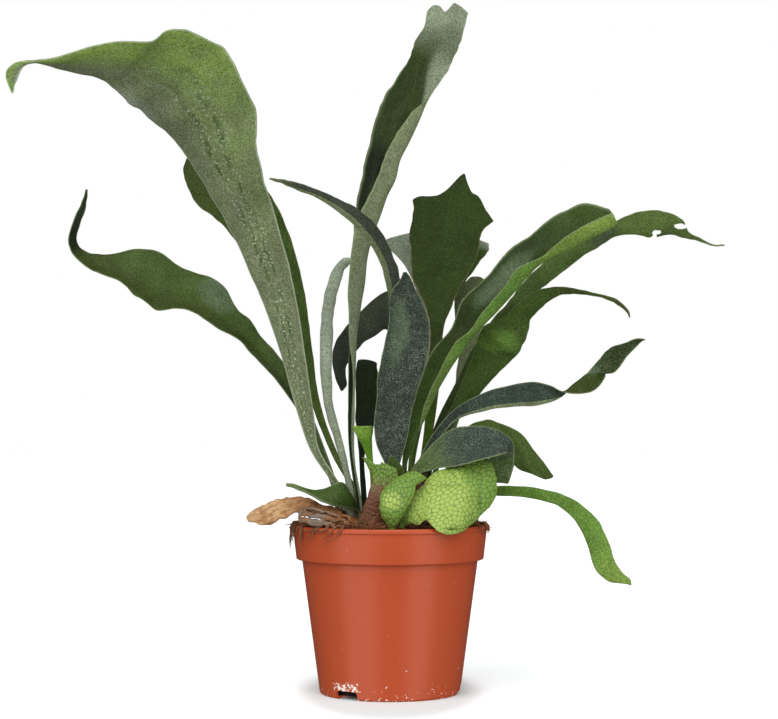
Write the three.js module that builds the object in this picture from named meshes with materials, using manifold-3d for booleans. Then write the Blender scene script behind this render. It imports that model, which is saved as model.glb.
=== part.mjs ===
// Staghorn fern in a round plastic nursery pot, at rest on a table.
// Millimetres, +Z up, front towards -Y, origin at the middle of the pot's base.
import * as THREE from "three";
import { mergeVertices } from "three/addons/utils/BufferGeometryUtils.js";
import Module from "manifold-3d";

const wasm = await Module();
wasm.setup();

// Driving dimensions of the pot
const POT_HEIGHT = 102;
const RIM_RADIUS = 60;
const BAND_HEIGHT = 21;
const BAND_FOOT_RADIUS = 57.2;
const BODY_TOP_RADIUS = 53.6;
const BASE_RADIUS = 42.6;
const WALL = 1.6;
const LIP = 1.1;
const POT_SIDES = 48;
const NOTCH_WIDTH = 14;
const NOTCH_HEIGHT = 4.6;
const NOTCH_ANGLES = [-127, -7, 113];

// Driving dimensions of what fills it
const MIX_EDGE = 97.5;
const MIX_CROWN = 103;
const MIX_SIDES = 30;
const MIX_LUMP = 0.55;
const CLEARANCE = 0.3;
const SOCKET_CLEARANCE = 0.6;

// Driving dimensions of the leaves
const BLADE_THICK = 1.2;
const STALK_THICK = 2.9;
const SHIELD_THICK = 1.1;
const TIP_THICK = 0.8;

// The leaf outlines below are given as they look from this point, in the plane of the pot's axis.
// A depth then moves each point along its line of sight: negative is towards the viewer.
const VIEW_DISTANCE = 1150;
const VIEW_HEIGHT = 166;

const degrees = (angle) => (angle * Math.PI) / 180;
const smooth = (low, high, value) => THREE.MathUtils.smoothstep(value, low, high);

function seen([x, z, depth]) {
  const reach = (VIEW_DISTANCE + depth) / VIEW_DISTANCE;
  return new THREE.Vector3(x * reach, depth, VIEW_HEIGHT + (z - VIEW_HEIGHT) * reach);
}

// Each leaf is a row of stations from foot to tip. A station is its left edge and its right edge, looking
// from the foot to the tip with the near face up, or its left edge, its fold and its right edge.
// An edge point is x, z and depth.
const LEAVES = {
  frond_great_left: {
    colour: "#6f8460", rows: 30, lean: -50, columns: 4, stalk: 0.2, cup: 0.06,
    stations: [
      [[-28.5, 105, -5], [-24.5, 105, -5]],
      [[-29, 118, -5], [-25.5, 118, -5]],
      [[-35, 127, -6], [-31.5, 128, -6]],
      [[-48.5, 147, -8], [-43.5, 148, -8]],
      [[-55.5, 166, -10], [-46.5, 169, -10]],
      [[-67, 206, -13], [-51.5, 203, -15]],
      [[-77, 235, -16], [-57.5, 241, -20]],
      [[-87, 258, -18], [-63.5, 267, -25]],
      [[-98.5, 283, -20], [-71, 293, -30]],
      [[-112, 306, -22], [-76.5, 311, -36]],
      [[-126, 328, -24], [-81.5, 332, -42]],
      [[-137, 342, -26], [-82, 353, -48]],
      [[-147, 351, -28], [-88, 369, -54]],
      [[-154, 358, -30], [-101, 393, -60]],
      [[-165, 366, -32], [-124, 405, -62]],
      [[-176, 374, -34], [-146, 397, -60]],
      [[-190, 378, -36], [-170, 398, -56]],
      [[-202, 380, -38], [-190, 395, -52]],
      [[-212, 384, -40], [-204, 392, -48]],
      [[-224, 383, -42], [-222, 387, -46]],
      [[-230, 374, -46], [-234, 380, -44]],
      [[-231.5, 366, -46], [-233, 366, -45]],
    ],
  },
  frond_behind_great: {
    colour: "#2f4a2c", rows: 16, lean: 60, columns: 4, stalk: 0.22, cup: -0.05,
    stations: [
      [[-21, 105, 3], [-17.5, 105, 3]],
      [[-22, 119, 3], [-18.5, 119, 3]],
      [[-35, 143, 3], [-31, 143, 3]],
      [[-46.5, 171, 2], [-42, 173, 2]],
      [[-53, 191, 1], [-46.5, 200, 1]],
      [[-62.5, 216, 0], [-50, 229, 0]],
      [[-75, 243, 0], [-54.5, 255, -2]],
      [[-90, 269, -1], [-60.5, 275, -4]],
      [[-105, 287, -2], [-69, 296, -6]],
      [[-119, 298, -4], [-81, 313, -8]],
      [[-125, 310, -6], [-99, 326, -8]],
      [[-127, 318, -8], [-116, 328, -8]],
      [[-125.5, 325, -8], [-124, 328, -8]],
    ],
  },
  frond_low_left: {
    colour: "#3c5a33", rows: 26, lean: 44, columns: 4, stalk: 0.18, cup: -0.08,
    stations: [
      [[-33.5, 108, 4], [-30.5, 108, 4]],
      [[-34.5, 121, 4], [-31, 121, 4]],
      [[-44, 145, 3], [-40, 148, 3]],
      [[-54, 167, 2], [-49, 171, 2]],
      [[-68.5, 188, 0], [-62, 196, 2]],
      [[-82, 203, -2], [-72, 209, 4]],
      [[-94, 215, -4], [-81.5, 221, 6]],
      [[-105, 222, -6], [-92.5, 233, 8]],
      [[-120, 230, -8], [-100.5, 245, 10]],
      [[-132, 234, -10], [-114.5, 253, 12]],
      [[-145, 234, -14], [-128.5, 261, 10]],
      [[-154, 242, -16], [-141.5, 268, 8]],
      [[-163, 250, -14], [-155.5, 269, 4]],
      [[-177.5, 256, -12], [-172.5, 268, 2]],
      [[-188.5, 261, -12], [-185, 268, -2]],
      [[-196.5, 271, -12], [-190.5, 272, -6]],
      [[-197, 279, -12], [-192, 278, -8]],
      [[-193, 291, -12], [-189, 288, -10]],
      [[-188.5, 301, -12], [-186, 298, -11]],
      [[-187, 307, -12], [-185.5, 307, -12]],
    ],
  },
  frond_young_rolled: {
    colour: "#93a984", rows: 13, lean: -34, columns: 4, stalk: 0.15, cup: 0.3, thick: 2.4,
    stations: [
      [[-25, 105, -10], [-22, 105, -10]],
      [[-25.5, 119, -10], [-22, 119, -10]],
      [[-28, 132, -10], [-24.5, 132, -10]],
      [[-34.5, 155, -11], [-30, 156, -11]],
      [[-40, 174, -12], [-35, 176, -12]],
      [[-42.5, 197, -13], [-35.5, 197, -13]],
      [[-42.5, 219, -14], [-35, 219, -14]],
      [[-41.5, 233, -15], [-34.5, 232, -15]],
      [[-39, 246, -16], [-32, 244, -16]],
      [[-34.5, 258, -17], [-29, 255, -17]],
      [[-29, 264, -18], [-26, 260, -18]],
      [[-24.5, 265, -19], [-23.5, 262, -19]],
    ],
  },
  frond_tall: {
    colour: "#3a5232", rows: 22, lean: 42, columns: 6, stalk: 0.2,
    lobes: [[-1, 0], [-0.7, 5], [-0.35, 5], [-0.05, 0], [0.3, 8], [0.65, 5], [1, 0]],
    stations: [
      [[-20, 105, -4], [-18, 105, -4], [-16, 105, -4]],
      [[-21, 118, -4], [-19.2, 118, -4], [-17.5, 118, -4]],
      [[-24.5, 142, -4], [-23, 142, -4], [-21.5, 142, -4]],
      [[-25.5, 167, -3], [-23.2, 167, -5], [-21.8, 167, -6]],
      [[-25.5, 191, -1], [-22, 191, -4], [-22.5, 191, -8]],
      [[-24.5, 222, 2], [-20, 222, -3], [-25.5, 222, -9]],
      [[-23, 246, 3], [-16.5, 246, -3], [-25.5, 246, -10]],
      [[-22, 266, 3], [-13.5, 266, -3], [-24.5, 266, -11]],
      [[-21.5, 294, 4], [-8.5, 284, -3], [-20, 288, -11]],
      [[-20, 304, 4], [-3, 301, -3], [-14, 301, -11]],
      [[-17, 318, 5], [2.5, 314, -2], [-8, 314, -10]],
      [[-13.5, 332, 6], [6.5, 327, -1], [-3, 328, -9]],
      [[-10.5, 345, 7], [11.5, 339, 0], [2.5, 338, -8]],
      [[-4.5, 362, 8], [18, 353, 2], [9.5, 350, -5]],
      [[4.5, 376, 8], [20, 364, 4], [22, 362, -1]],
      [[11.5, 387, 8], [22.5, 382, 6], [33, 376, 2]],
      [[15.5, 398, 9], [29, 397, 7], [41, 392, 5]],
      [[21.5, 410, 9], [33, 409, 8], [45.5, 405, 7]],
      [[22.5, 417, 9], [34.5, 416, 8], [48, 416, 7]],
    ],
  },
  frond_arching: {
    colour: "#41583a", rows: 16, lean: -60, columns: 4, stalk: 0.25, cup: 0.12,
    stations: [
      [[0.5, 128, 0], [3.5, 128, 0]],
      [[0.5, 142, -1], [4, 142, -1]],
      [[0.5, 167, -3], [5, 167, -3]],
      [[0.5, 191, -6], [6, 191, -6]],
      [[0.5, 216, -10], [8, 217, -9]],
      [[0, 234, -14], [8.5, 236, -13]],
      [[-2, 247, -18], [6, 252, -15]],
      [[-5.5, 260, -20], [3, 264, -16]],
      [[-11.5, 271, -22], [-3, 277, -17]],
      [[-19.5, 282, -24], [-11.5, 288, -19]],
      [[-30.5, 292, -26], [-23.5, 297, -21]],
      [[-44, 301, -28], [-37.5, 304, -24]],
      [[-59, 307, -30], [-53.5, 310, -27]],
      [[-67.5, 311, -31], [-64.5, 313, -30]],
      [[-74.5, 313, -32], [-74, 314, -32]],
    ],
  },
  frond_dark_front: {
    colour: "#34443d", rows: 13, lean: -34, columns: 4, stalk: 0.12, cup: -0.1,
    stations: [
      [[0, 127, -8], [3.5, 127, -8]],
      [[-2.5, 137, -10], [6, 138, -10]],
      [[-8.5, 151, -12], [10, 152, -12]],
      [[-10, 165, -15], [13, 167, -15]],
      [[-8, 178, -18], [15.5, 178, -18]],
      [[-8, 190, -21], [19, 190, -21]],
      [[-5.5, 203, -25], [22.5, 201, -25]],
      [[-3, 214, -28], [24.5, 212, -28]],
      [[-0.5, 226, -31], [24.5, 226, -31]],
      [[-1, 236, -34], [21, 236, -34]],
      [[0.5, 244, -36], [16.5, 245, -36]],
      [[6, 252, -38], [13, 252, -38]],
      [[8.5, 256, -39], [10.5, 256, -39]],
    ],
  },
  frond_broad_upright: {
    colour: "#2f4524", rows: 14, lean: 32, columns: 8, stalk: 0.3, cup: -0.06,
    lobes: [
      [-1, 0], [-0.75, 5], [-0.5, 8], [-0.25, 15], [0, 22], [0.25, 26], [0.5, 15], [0.75, 12], [1, 0],
    ],
    stations: [
      [[16, 127, 6], [19.5, 127, 6]],
      [[18.5, 141, 6], [22, 141, 6]],
      [[21, 160, 7], [26.5, 160, 7]],
      [[22, 179, 8], [29.5, 181, 8]],
      [[23.5, 200, 9], [32, 202, 9]],
      [[24.5, 220, 10], [33, 222, 10]],
      [[22, 233, 10], [37.5, 234, 10]],
      [[18, 244, 10], [43, 247, 10]],
      [[13.5, 254, 10], [50, 258, 10]],
      [[13, 268, 10], [54.5, 270, 10]],
      [[12, 279, 10], [57.5, 279, 10]],
      [[14, 291, 9], [61, 284, 9]],
      [[13, 298, 8], [63.5, 287, 8]],
    ],
  },
  frond_forked_back: {
    colour: "#6b7a63", rows: 10, lean: 44, columns: 6, stalk: 0.35, cup: 0.05,
    lobes: [[-1, 0], [-0.66, 5], [-0.33, 9], [0, 6], [0.33, 6], [0.66, 4], [1, 0]],
    stations: [
      [[10.5, 127, 14], [13.5, 127, 14]],
      [[12, 145, 15], [16, 145, 15]],
      [[17, 173, 18], [22, 173, 18]],
      [[21, 203, 20], [28, 203, 20]],
      [[21, 229, 22], [34, 229, 22]],
      [[16, 245, 22], [43, 245, 22]],
      [[8.5, 261, 22], [52.5, 258, 22]],
      [[0, 271, 21], [60, 269, 21]],
      [[-3, 275, 20], [61, 273, 20]],
    ],
  },
  frond_long_right: {
    colour: "#4a6238", rows: 20, lean: -44, columns: 6, stalk: 0.14,
    stations: [
      [[7.5, 127, -4], [9, 127, -4], [10.5, 127, -4]],
      [[7.5, 141, -5], [9.2, 141, -5], [11, 141, -5]],
      [[10, 154, -6], [13.5, 153, -8], [16, 152, -8]],
      [[13, 174, -5], [22.5, 170, -10], [20, 171, -13]],
      [[18.5, 191, -6], [31, 188, -12], [26.5, 187, -17]],
      [[24.5, 204, -6], [38, 200, -14], [32, 200, -20]],
      [[30.5, 214, -6], [46.5, 211, -15], [39, 211, -21]],
      [[37.5, 223, -6], [55, 222, -16], [47, 219, -22]],
      [[44.5, 238, -6], [62.5, 230, -16], [57, 231, -22]],
      [[54.5, 249, -6], [70.5, 239, -16], [64.5, 241, -22]],
      [[63.5, 259, -6], [78.5, 247, -16], [71.5, 250, -22]],
      [[74.5, 271, -6], [87, 257, -16], [80, 259, -22]],
      [[85.5, 279, -6], [97.5, 266, -16], [92.5, 266, -22]],
      [[95.5, 287, -6], [108.5, 271, -16], [101.5, 273, -22]],
      [[105.5, 294, -6], [120, 277, -16], [111.5, 280, -21]],
      [[116.5, 298, -8], [130, 281, -16], [122.5, 287, -20]],
      [[127.5, 297, -10], [136.5, 284, -16], [131, 291, -18]],
      [[135, 295, -12], [139.5, 286, -15], [136.5, 293, -16]],
    ],
  },
  frond_torn_right: {
    colour: "#4d6a3a", rows: 20, lean: 62, columns: 4, stalk: 0.2, cup: 0.06,
    stations: [
      [[19, 127, 13], [22, 127, 13]],
      [[22, 145, 13], [25.5, 144, 13]],
      [[29.5, 167, 13], [35, 164, 13]],
      [[40, 188, 13], [47, 184, 13]],
      [[49.5, 208, 13], [59, 204, 13]],
      [[61, 225, 12], [70.5, 220, 12]],
      [[72.5, 238, 11], [81, 236, 11]],
      [[81, 249, 10], [90.5, 244, 10]],
      [[92, 260, 9], [102, 253, 9]],
      [[105.5, 270, 8], [114.5, 263, 8]],
      [[123.5, 279, 6], [127.5, 271, 6]],
      [[141.5, 289, 4], [136.5, 277, 4]],
      [[157, 294, 2], [148, 279, 2]],
      [[170, 293, 0], [161, 277, 0]],
      [[179.5, 288, -1], [170, 279, -1]],
      [[183.5, 281, -2], [180, 277, -2]],
      [[190, 277, -3], [189, 275, -3]],
      [[198.5, 273, -4], [198.5, 272, -4]],
      [[205, 273, -5], [205, 272, -5]],
    ],
  },
  frond_folded_right: {
    colour: "#4d7d2c", rows: 18, lean: 18, columns: 4, stalk: 0.15, cup: 0.1,
    stations: [
      [[21, 127, 0], [24, 127, 0]],
      [[24.5, 145, 0], [28, 144, 0]],
      [[30.5, 159, -1], [35.5, 158, -1]],
      [[38.5, 176, -2], [49, 174, -2]],
      [[44.5, 190, -3], [62.5, 190, -3]],
      [[49.5, 202, -4], [71.5, 199, -4]],
      [[52.5, 212, -4], [78.5, 206, -4]],
      [[57, 222, -5], [84, 217, -5]],
      [[69, 228, -5], [86.5, 227, -5]],
      [[78.5, 237, -6], [92, 233, -6]],
      [[87.5, 244, -6], [99, 239, -6]],
      [[103, 247, -7], [106.5, 242, -7]],
      [[117.5, 245, -8], [119, 242, -8]],
      [[131, 242, -9], [130.5, 240, -9]],
      [[141, 238, -10], [139, 236, -10]],
      [[146.5, 231, -11], [145, 231, -11]],
      [[147, 228, -11], [146.5, 228, -11]],
    ],
  },
  frond_twisted_right: {
    colour: "#3c4c40", rows: 20, lean: -50, columns: 4, stalk: 0.16, cup: -0.06,
    stations: [
      [[14, 126, -2], [17, 126, -2]],
      [[16.5, 138, -4], [20, 138, -4]],
      [[25.5, 156, -9], [29.5, 152, -9]],
      [[38, 171, -14], [40.5, 165, -14]],
      [[52.5, 180, -20], [54, 170, -20]],
      [[70, 186, -26], [71, 173, -26]],
      [[88, 189, -32], [88, 174, -32]],
      [[100, 187, -37], [101, 178, -35]],
      [[108.5, 184, -41], [109, 183, -34]],
      [[117.5, 186, -42], [115, 189, -35]],
      [[125, 192, -43], [124, 194, -36]],
      [[128.5, 202, -40], [136, 195, -38]],
      [[134.5, 210, -38], [143.5, 201, -38]],
      [[145.5, 214, -38], [149.5, 208, -38]],
      [[153, 215, -38], [153.5, 213, -38]],
      [[156, 216, -38], [156, 215, -38]],
    ],
  },
  frond_spoon: {
    colour: "#303d36", rows: 14, lean: -2, columns: 4, stalk: 0.14, cup: -0.12,
    stations: [
      [[11, 127, -9], [14, 126, -9]],
      [[13.5, 136, -12], [15, 131, -12]],
      [[19, 143, -16], [19.5, 133, -19]],
      [[27, 151, -20], [29.5, 137, -30]],
      [[35.5, 158, -24], [40.5, 140, -38]],
      [[46.5, 161, -26], [51.5, 142, -42]],
      [[60, 160, -28], [59.5, 143, -42]],
      [[69, 157, -28], [65, 144, -40]],
      [[74, 152, -28], [68.5, 144, -36]],
      [[76, 145, -26], [67.5, 141, -30]],
      [[75.5, 135, -24], [64, 133, -26]],
      [[73, 126, -22], [65, 126, -24]],
    ],
  },
  frond_drooping_right: {
    colour: "#4f6b34", rows: 12, lean: 38, columns: 4, stalk: 0.25, cup: 0.08,
    stations: [
      [[36.5, 110, 18], [39.5, 110, 18]],
      [[36, 121, 18], [39, 121, 18]],
      [[35.5, 139, 16], [40.5, 137, 16]],
      [[40, 154, 13], [48, 149, 13]],
      [[48, 162, 10], [59, 149, 10]],
      [[59.5, 166, 8], [66, 145, 8]],
      [[71, 162, 6], [73, 140, 6]],
      [[81, 156, 4], [79, 135, 4]],
      [[89.5, 145, 2], [87, 132, 2]],
      [[95, 138, 0], [95, 129, 0]],
      [[100, 131, 0], [99, 130, 0]],
    ],
  },
  frond_low_right: {
    colour: "#5d8a3a", rows: 16, lean: -30, columns: 4, stalk: 0.14, cup: 0.06,
    stations: [
      [[41.5, 112, 10], [42.5, 108, 10]],
      [[46.5, 119, 8], [48.5, 116, 8]],
      [[55, 124, 5], [56.5, 119, 5]],
      [[65, 125, 2], [65.5, 119, 2]],
      [[80, 125, 0], [79, 119, 0]],
      [[95, 123, -2], [93, 116, -2]],
      [[108, 119, -4], [102.5, 113, -4]],
      [[118, 113, -6], [109.5, 107, -6]],
      [[125.5, 106, -8], [116.5, 98, -8]],
      [[130.5, 98, -10], [120.5, 89, -10]],
      [[134, 89, -11], [123, 80, -11]],
      [[137, 80, -12], [127.5, 71, -12]],
      [[142, 73, -12], [134, 67, -12]],
      [[146.5, 68, -12], [141, 65.5, -12]],
      [[147.5, 64, -12], [146.5, 65, -12]],
    ],
  },
  frond_back_right: {
    colour: "#66764a", rows: 10, lean: 50, columns: 4, stalk: 0.2, cup: 0.05,
    stations: [
      [[23.5, 127, 12], [26.5, 127, 12]],
      [[29.5, 143, 15], [33, 143, 15]],
      [[35, 160, 18], [40.5, 160, 18]],
      [[39, 179, 21], [46.5, 179, 21]],
      [[40.5, 196, 24], [50, 198, 24]],
      [[42.5, 209, 26], [55, 212, 26]],
      [[40.5, 225, 29], [59, 227, 29]],
      [[39, 238, 31], [60, 240, 31]],
      [[44.5, 248, 32], [59.5, 249, 32]],
      [[49, 253, 33], [55.5, 253, 33]],
    ],
  },
  frond_back_left: {
    colour: "#2c3f2c", rows: 16, lean: 44, columns: 4, stalk: 0.2, cup: 0.08,
    stations: [
      [[0, 127, 12], [3, 127, 12]],
      [[1, 148, 15], [5.5, 148, 15]],
      [[2.5, 173, 19], [9, 173, 19]],
      [[2, 197, 23], [13.5, 200, 23]],
      [[0.5, 212, 26], [14.5, 225, 26]],
      [[-1, 219, 27], [10, 239, 27]],
      [[-3.5, 221, 26], [0, 245, 27]],
      [[-8.5, 217, 25], [-12, 238, 26]],
      [[-16.5, 212, 24], [-22.5, 227, 24]],
      [[-22.5, 205, 23], [-30.5, 218, 23]],
      [[-26.5, 198, 22], [-35, 209, 22]],
      [[-26.5, 191, 21], [-35, 200, 21]],
      [[-26.5, 186, 20], [-33, 190, 20]],
      [[-29.5, 183, 20], [-30.5, 184, 20]],
    ],
  },
  frond_back_centre: {
    colour: "#1f2a20", rows: 11, lean: 22, columns: 4, stalk: 0.25, cup: 0.05,
    stations: [
      [[-16.5, 108, 8], [-13.5, 108, 8]],
      [[-18, 124, 9], [-14.5, 124, 9]],
      [[-19, 143, 10], [-15.5, 143, 10]],
      [[-20, 155, 11], [-12, 155, 11]],
      [[-21, 167, 12], [-8.5, 167, 12]],
      [[-21, 182, 13], [-7.5, 182, 13]],
      [[-21, 195, 14], [-7.5, 195, 14]],
      [[-20, 201, 17], [-8, 201, 17]],
      [[-18.5, 198, 22], [-9, 198, 22]],
      [[-16.5, 190, 24], [-11, 190, 24]],
    ],
  },
  frond_boat_left: {
    colour: "#3f6b2c", rows: 11, lean: -12, columns: 4, stalk: 0.1, cup: 0.12,
    stations: [
      [[-16.5, 102, -11], [-18.5, 105, -11]],
      [[-19, 109, -12], [-20, 113, -12]],
      [[-25, 111, -20], [-24.5, 122, -16]],
      [[-32, 112, -24], [-29.5, 128, -18]],
      [[-38.5, 114, -27], [-36.5, 125, -21]],
      [[-46, 118, -28], [-44, 123, -24]],
      [[-52, 121, -30], [-51.5, 124, -27]],
      [[-58, 123, -31], [-58, 126, -30]],
      [[-64, 125, -32], [-63.5, 127, -32]],
    ],
  },
  sprout_centre: {
    colour: "#7fb83a", rows: 6, columns: 4, stalk: 0.4, cup: 0.1,
    stations: [
      [[-14, 108, -7], [-11.5, 108, -7]],
      [[-14, 130, -9], [-11.5, 130, -9]],
      [[-16, 143, -10], [-11, 143, -10]],
      [[-19.5, 154, -11], [-10.5, 154, -11]],
      [[-23.5, 162, -12], [-10.5, 162, -12]],
    ],
  },
  sprout_front: {
    colour: "#5d9a30", rows: 5, columns: 4, stalk: 0.3, cup: 0.05,
    stations: [
      [[2.5, 118, -13], [5.5, 118, -13]],
      [[1.5, 126, -14], [6, 125, -14]],
      [[-1, 135, -15], [7.5, 130, -15]],
      [[-1, 140, -16], [8.5, 135, -16]],
      [[0.5, 144, -17], [2.5, 143, -17]],
    ],
  },
  shield_upright: {
    colour: "#8a7a44", rows: 8, columns: 6, cup: 0.12, thick: SHIELD_THICK,
    lobes: [[-1, 2], [-0.66, 4], [-0.33, 1], [0, 2], [0.33, 3], [0.66, 1], [1, 0]],
    stations: [
      [[-14.5, 92, -24], [-7.5, 92, -24]],
      [[-16.5, 104, -24], [-5.5, 104, -24]],
      [[-16, 113, -24], [-4.5, 113, -24]],
      [[-13.5, 119, -24], [-1, 119, -24]],
      [[-11, 127, -23], [2.5, 125, -23]],
      [[-11.5, 133, -22], [5.5, 131, -22]],
      [[-13.5, 139, -22], [3.5, 136, -22]],
    ],
  },
  shield_cupped: {
    colour: "#7fb83a", rows: 10, columns: 4, cup: 0.2, thick: SHIELD_THICK,
    stations: [
      [[0.5, 90, -44], [3.5, 90, -44]],
      [[-0.5, 99, -45], [3, 99, -45]],
      [[-2.5, 103, -47], [5.5, 103, -47]],
      [[-5.5, 108, -48], [8.5, 108, -48]],
      [[-6.5, 113, -48], [11, 113, -48]],
      [[-5.5, 120, -46], [14, 119, -46]],
      [[-1, 126, -43], [15.5, 125, -43]],
      [[6, 131, -40], [19, 127, -40]],
      [[13.5, 134, -38], [22, 130, -38]],
    ],
  },
  shield_kidney: {
    colour: "#8cc244", rows: 14, columns: 8, cup: 0.08, thick: SHIELD_THICK,
    stations: [
      [[6, 90, -36], [8.5, 90, -36]],
      [[6, 99, -37], [9, 98, -37]],
      [[8, 113, -36], [11.5, 103, -42]],
      [[13.5, 120, -33], [18.5, 102, -47]],
      [[19.5, 125, -31], [22.5, 105, -48]],
      [[26.5, 133, -30], [27, 100, -57]],
      [[34.5, 136, -29], [32.5, 95.5, -58]],
      [[42.5, 140, -29], [41.5, 96, -53]],
      [[49, 141, -29], [50, 102, -44]],
      [[55.5, 141, -30], [57.5, 109, -38]],
      [[61, 137, -30], [62.5, 115, -34]],
      [[65, 130, -30], [65, 120, -31]],
    ],
  },
  shield_dry_left: {
    colour: "#a8744a", rows: 12, columns: 4, cup: 0.15, thick: SHIELD_THICK,
    stations: [
      [[-23.5, 90, -20], [-21.5, 93, -20]],
      [[-27.5, 100, -21], [-26.5, 103, -21]],
      [[-30.5, 105, -24], [-32, 111, -22]],
      [[-38, 106, -27], [-40, 113, -23]],
      [[-47, 108, -29], [-48.5, 117, -23]],
      [[-55.5, 109, -30], [-55.5, 118, -22]],
      [[-65, 105, -30], [-64.5, 118, -20]],
      [[-74, 101, -28], [-75.5, 114, -18]],
      [[-81.5, 102, -24], [-83.5, 111, -17]],
      [[-85.5, 103, -20], [-87.5, 107, -17]],
    ],
  },
  shield_dead_scrap: {
    colour: "#8d7f78", rows: 10, columns: 4, cup: 0.12, thick: SHIELD_THICK,
    stations: [
      [[-20, 92, -45], [-18, 93, -44]],
      [[-20, 96, -46], [-18.5, 99, -44]],
      [[-22.5, 101, -48], [-22, 104, -44]],
      [[-27, 101, -48], [-27.5, 105, -42]],
      [[-37, 100, -46], [-37, 105, -40]],
      [[-46.5, 101, -42], [-46.5, 107, -36]],
      [[-56, 104, -34], [-56, 110, -32]],
    ],
  },
};

const CROWN_SIDES = 18;
const SCALE_RELIEF = 0.05;
const CROWNS = {
  left: { x: -24, y: 2, half_width: 16.4, half_depth: 15, foot: 86, top: 113 },
  centre: { x: 12, y: 3, half_width: 19, half_depth: 18, foot: 86, top: 134 },
  right: { x: 43, y: 14, half_width: 11, half_depth: 12, foot: 86, top: 116 },
};

function solid(geometry) {
  const bare = new THREE.BufferGeometry();
  bare.setAttribute("position", geometry.getAttribute("position"));
  bare.setIndex(geometry.index);
  const merged = mergeVertices(bare, 1e-4);
  const mesh = new wasm.Mesh({
    numProp: 3,
    vertProperties: merged.getAttribute("position").array,
    triVerts: new Uint32Array(merged.index.array),
  });
  return new wasm.Manifold(mesh);
}

function geometryOf(shape) {
  const mesh = shape.getMesh();
  const geometry = new THREE.BufferGeometry();
  geometry.setAttribute("position", new THREE.BufferAttribute(new Float32Array(mesh.vertProperties), 3));
  geometry.setIndex(new THREE.BufferAttribute(new Uint32Array(mesh.triVerts), 1));
  return geometry;
}

// Boolean cuts can leave loose scraps: only the largest body is the piece.
function largestBody(shape) {
  return shape.decompose().reduce((best, body) => (body.volume() > best.volume() ? body : best));
}

function lookUp(pairs, position) {
  for (let i = 1; i < pairs.length; i += 1) {
    const [from, low] = pairs[i - 1];
    const [to, high] = pairs[i];
    if (position <= to) {
      return THREE.MathUtils.mapLinear(position, from, to, low, high);
    }
  }
  return pairs.at(-1)[1];
}

// The leaf's middle surface, as rows of points across it from the left edge to the right one
function leafSurface(leaf) {
  const last = leaf.stations.length - 1;
  const place = ([x, z, depth], i) => seen([x, z, depth + (leaf.lean ?? 0) * (i / last) ** 1.5]);
  const rail = (pick) => {
    const points = leaf.stations.map((station, i) => place(pick(station), i));
    return new THREE.CatmullRomCurve3(points, false, "centripetal");
  };
  const left = rail((s) => s[0]);
  const right = rail((s) => s.at(-1));
  const folded = leaf.stations[0].length === 3;
  const fold = folded ? rail((s) => s[1]) : null;
  const middle = (t) => left.getPoint(t).add(right.getPoint(t)).multiplyScalar(0.5);
  const step = 0.01;
  const rows = [];
  for (let i = 0; i <= leaf.rows; i += 1) {
    const t = i / leaf.rows;
    const a = left.getPoint(t);
    const c = right.getPoint(t);
    const along = middle(Math.min(1, t + step)).sub(middle(Math.max(0, t - step))).normalize();
    const side = c.clone().sub(a);
    const width = side.length();
    const out = side.clone().normalize().cross(along).normalize();
    const b = fold ? fold.getPoint(t) : middle(t).addScaledVector(out, width * (leaf.cup ?? 0));
    const row = [];
    for (let j = 0; j <= leaf.columns; j += 1) {
      const u = (2 * j) / leaf.columns - 1;
      const point = a.clone().multiplyScalar((u * (u - 1)) / 2);
      point.addScaledVector(b, 1 - u * u);
      point.addScaledVector(c, (u * (u + 1)) / 2);
      const reach = leaf.lobes ? lookUp(leaf.lobes, u) : 0;
      point.addScaledVector(along, reach * smooth(0.86, 1, t));
      row.push(point);
    }
    rows.push(row);
  }
  return rows;
}

function leafThickness(leaf, t) {
  const blade = leaf.thick ?? BLADE_THICK;
  const spread = leaf.stalk ? smooth(0.4 * leaf.stalk, leaf.stalk, t) : 1;
  const body = THREE.MathUtils.lerp(STALK_THICK, blade, spread);
  return THREE.MathUtils.lerp(body, TIP_THICK, smooth(0.9, 1, t));
}

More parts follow.
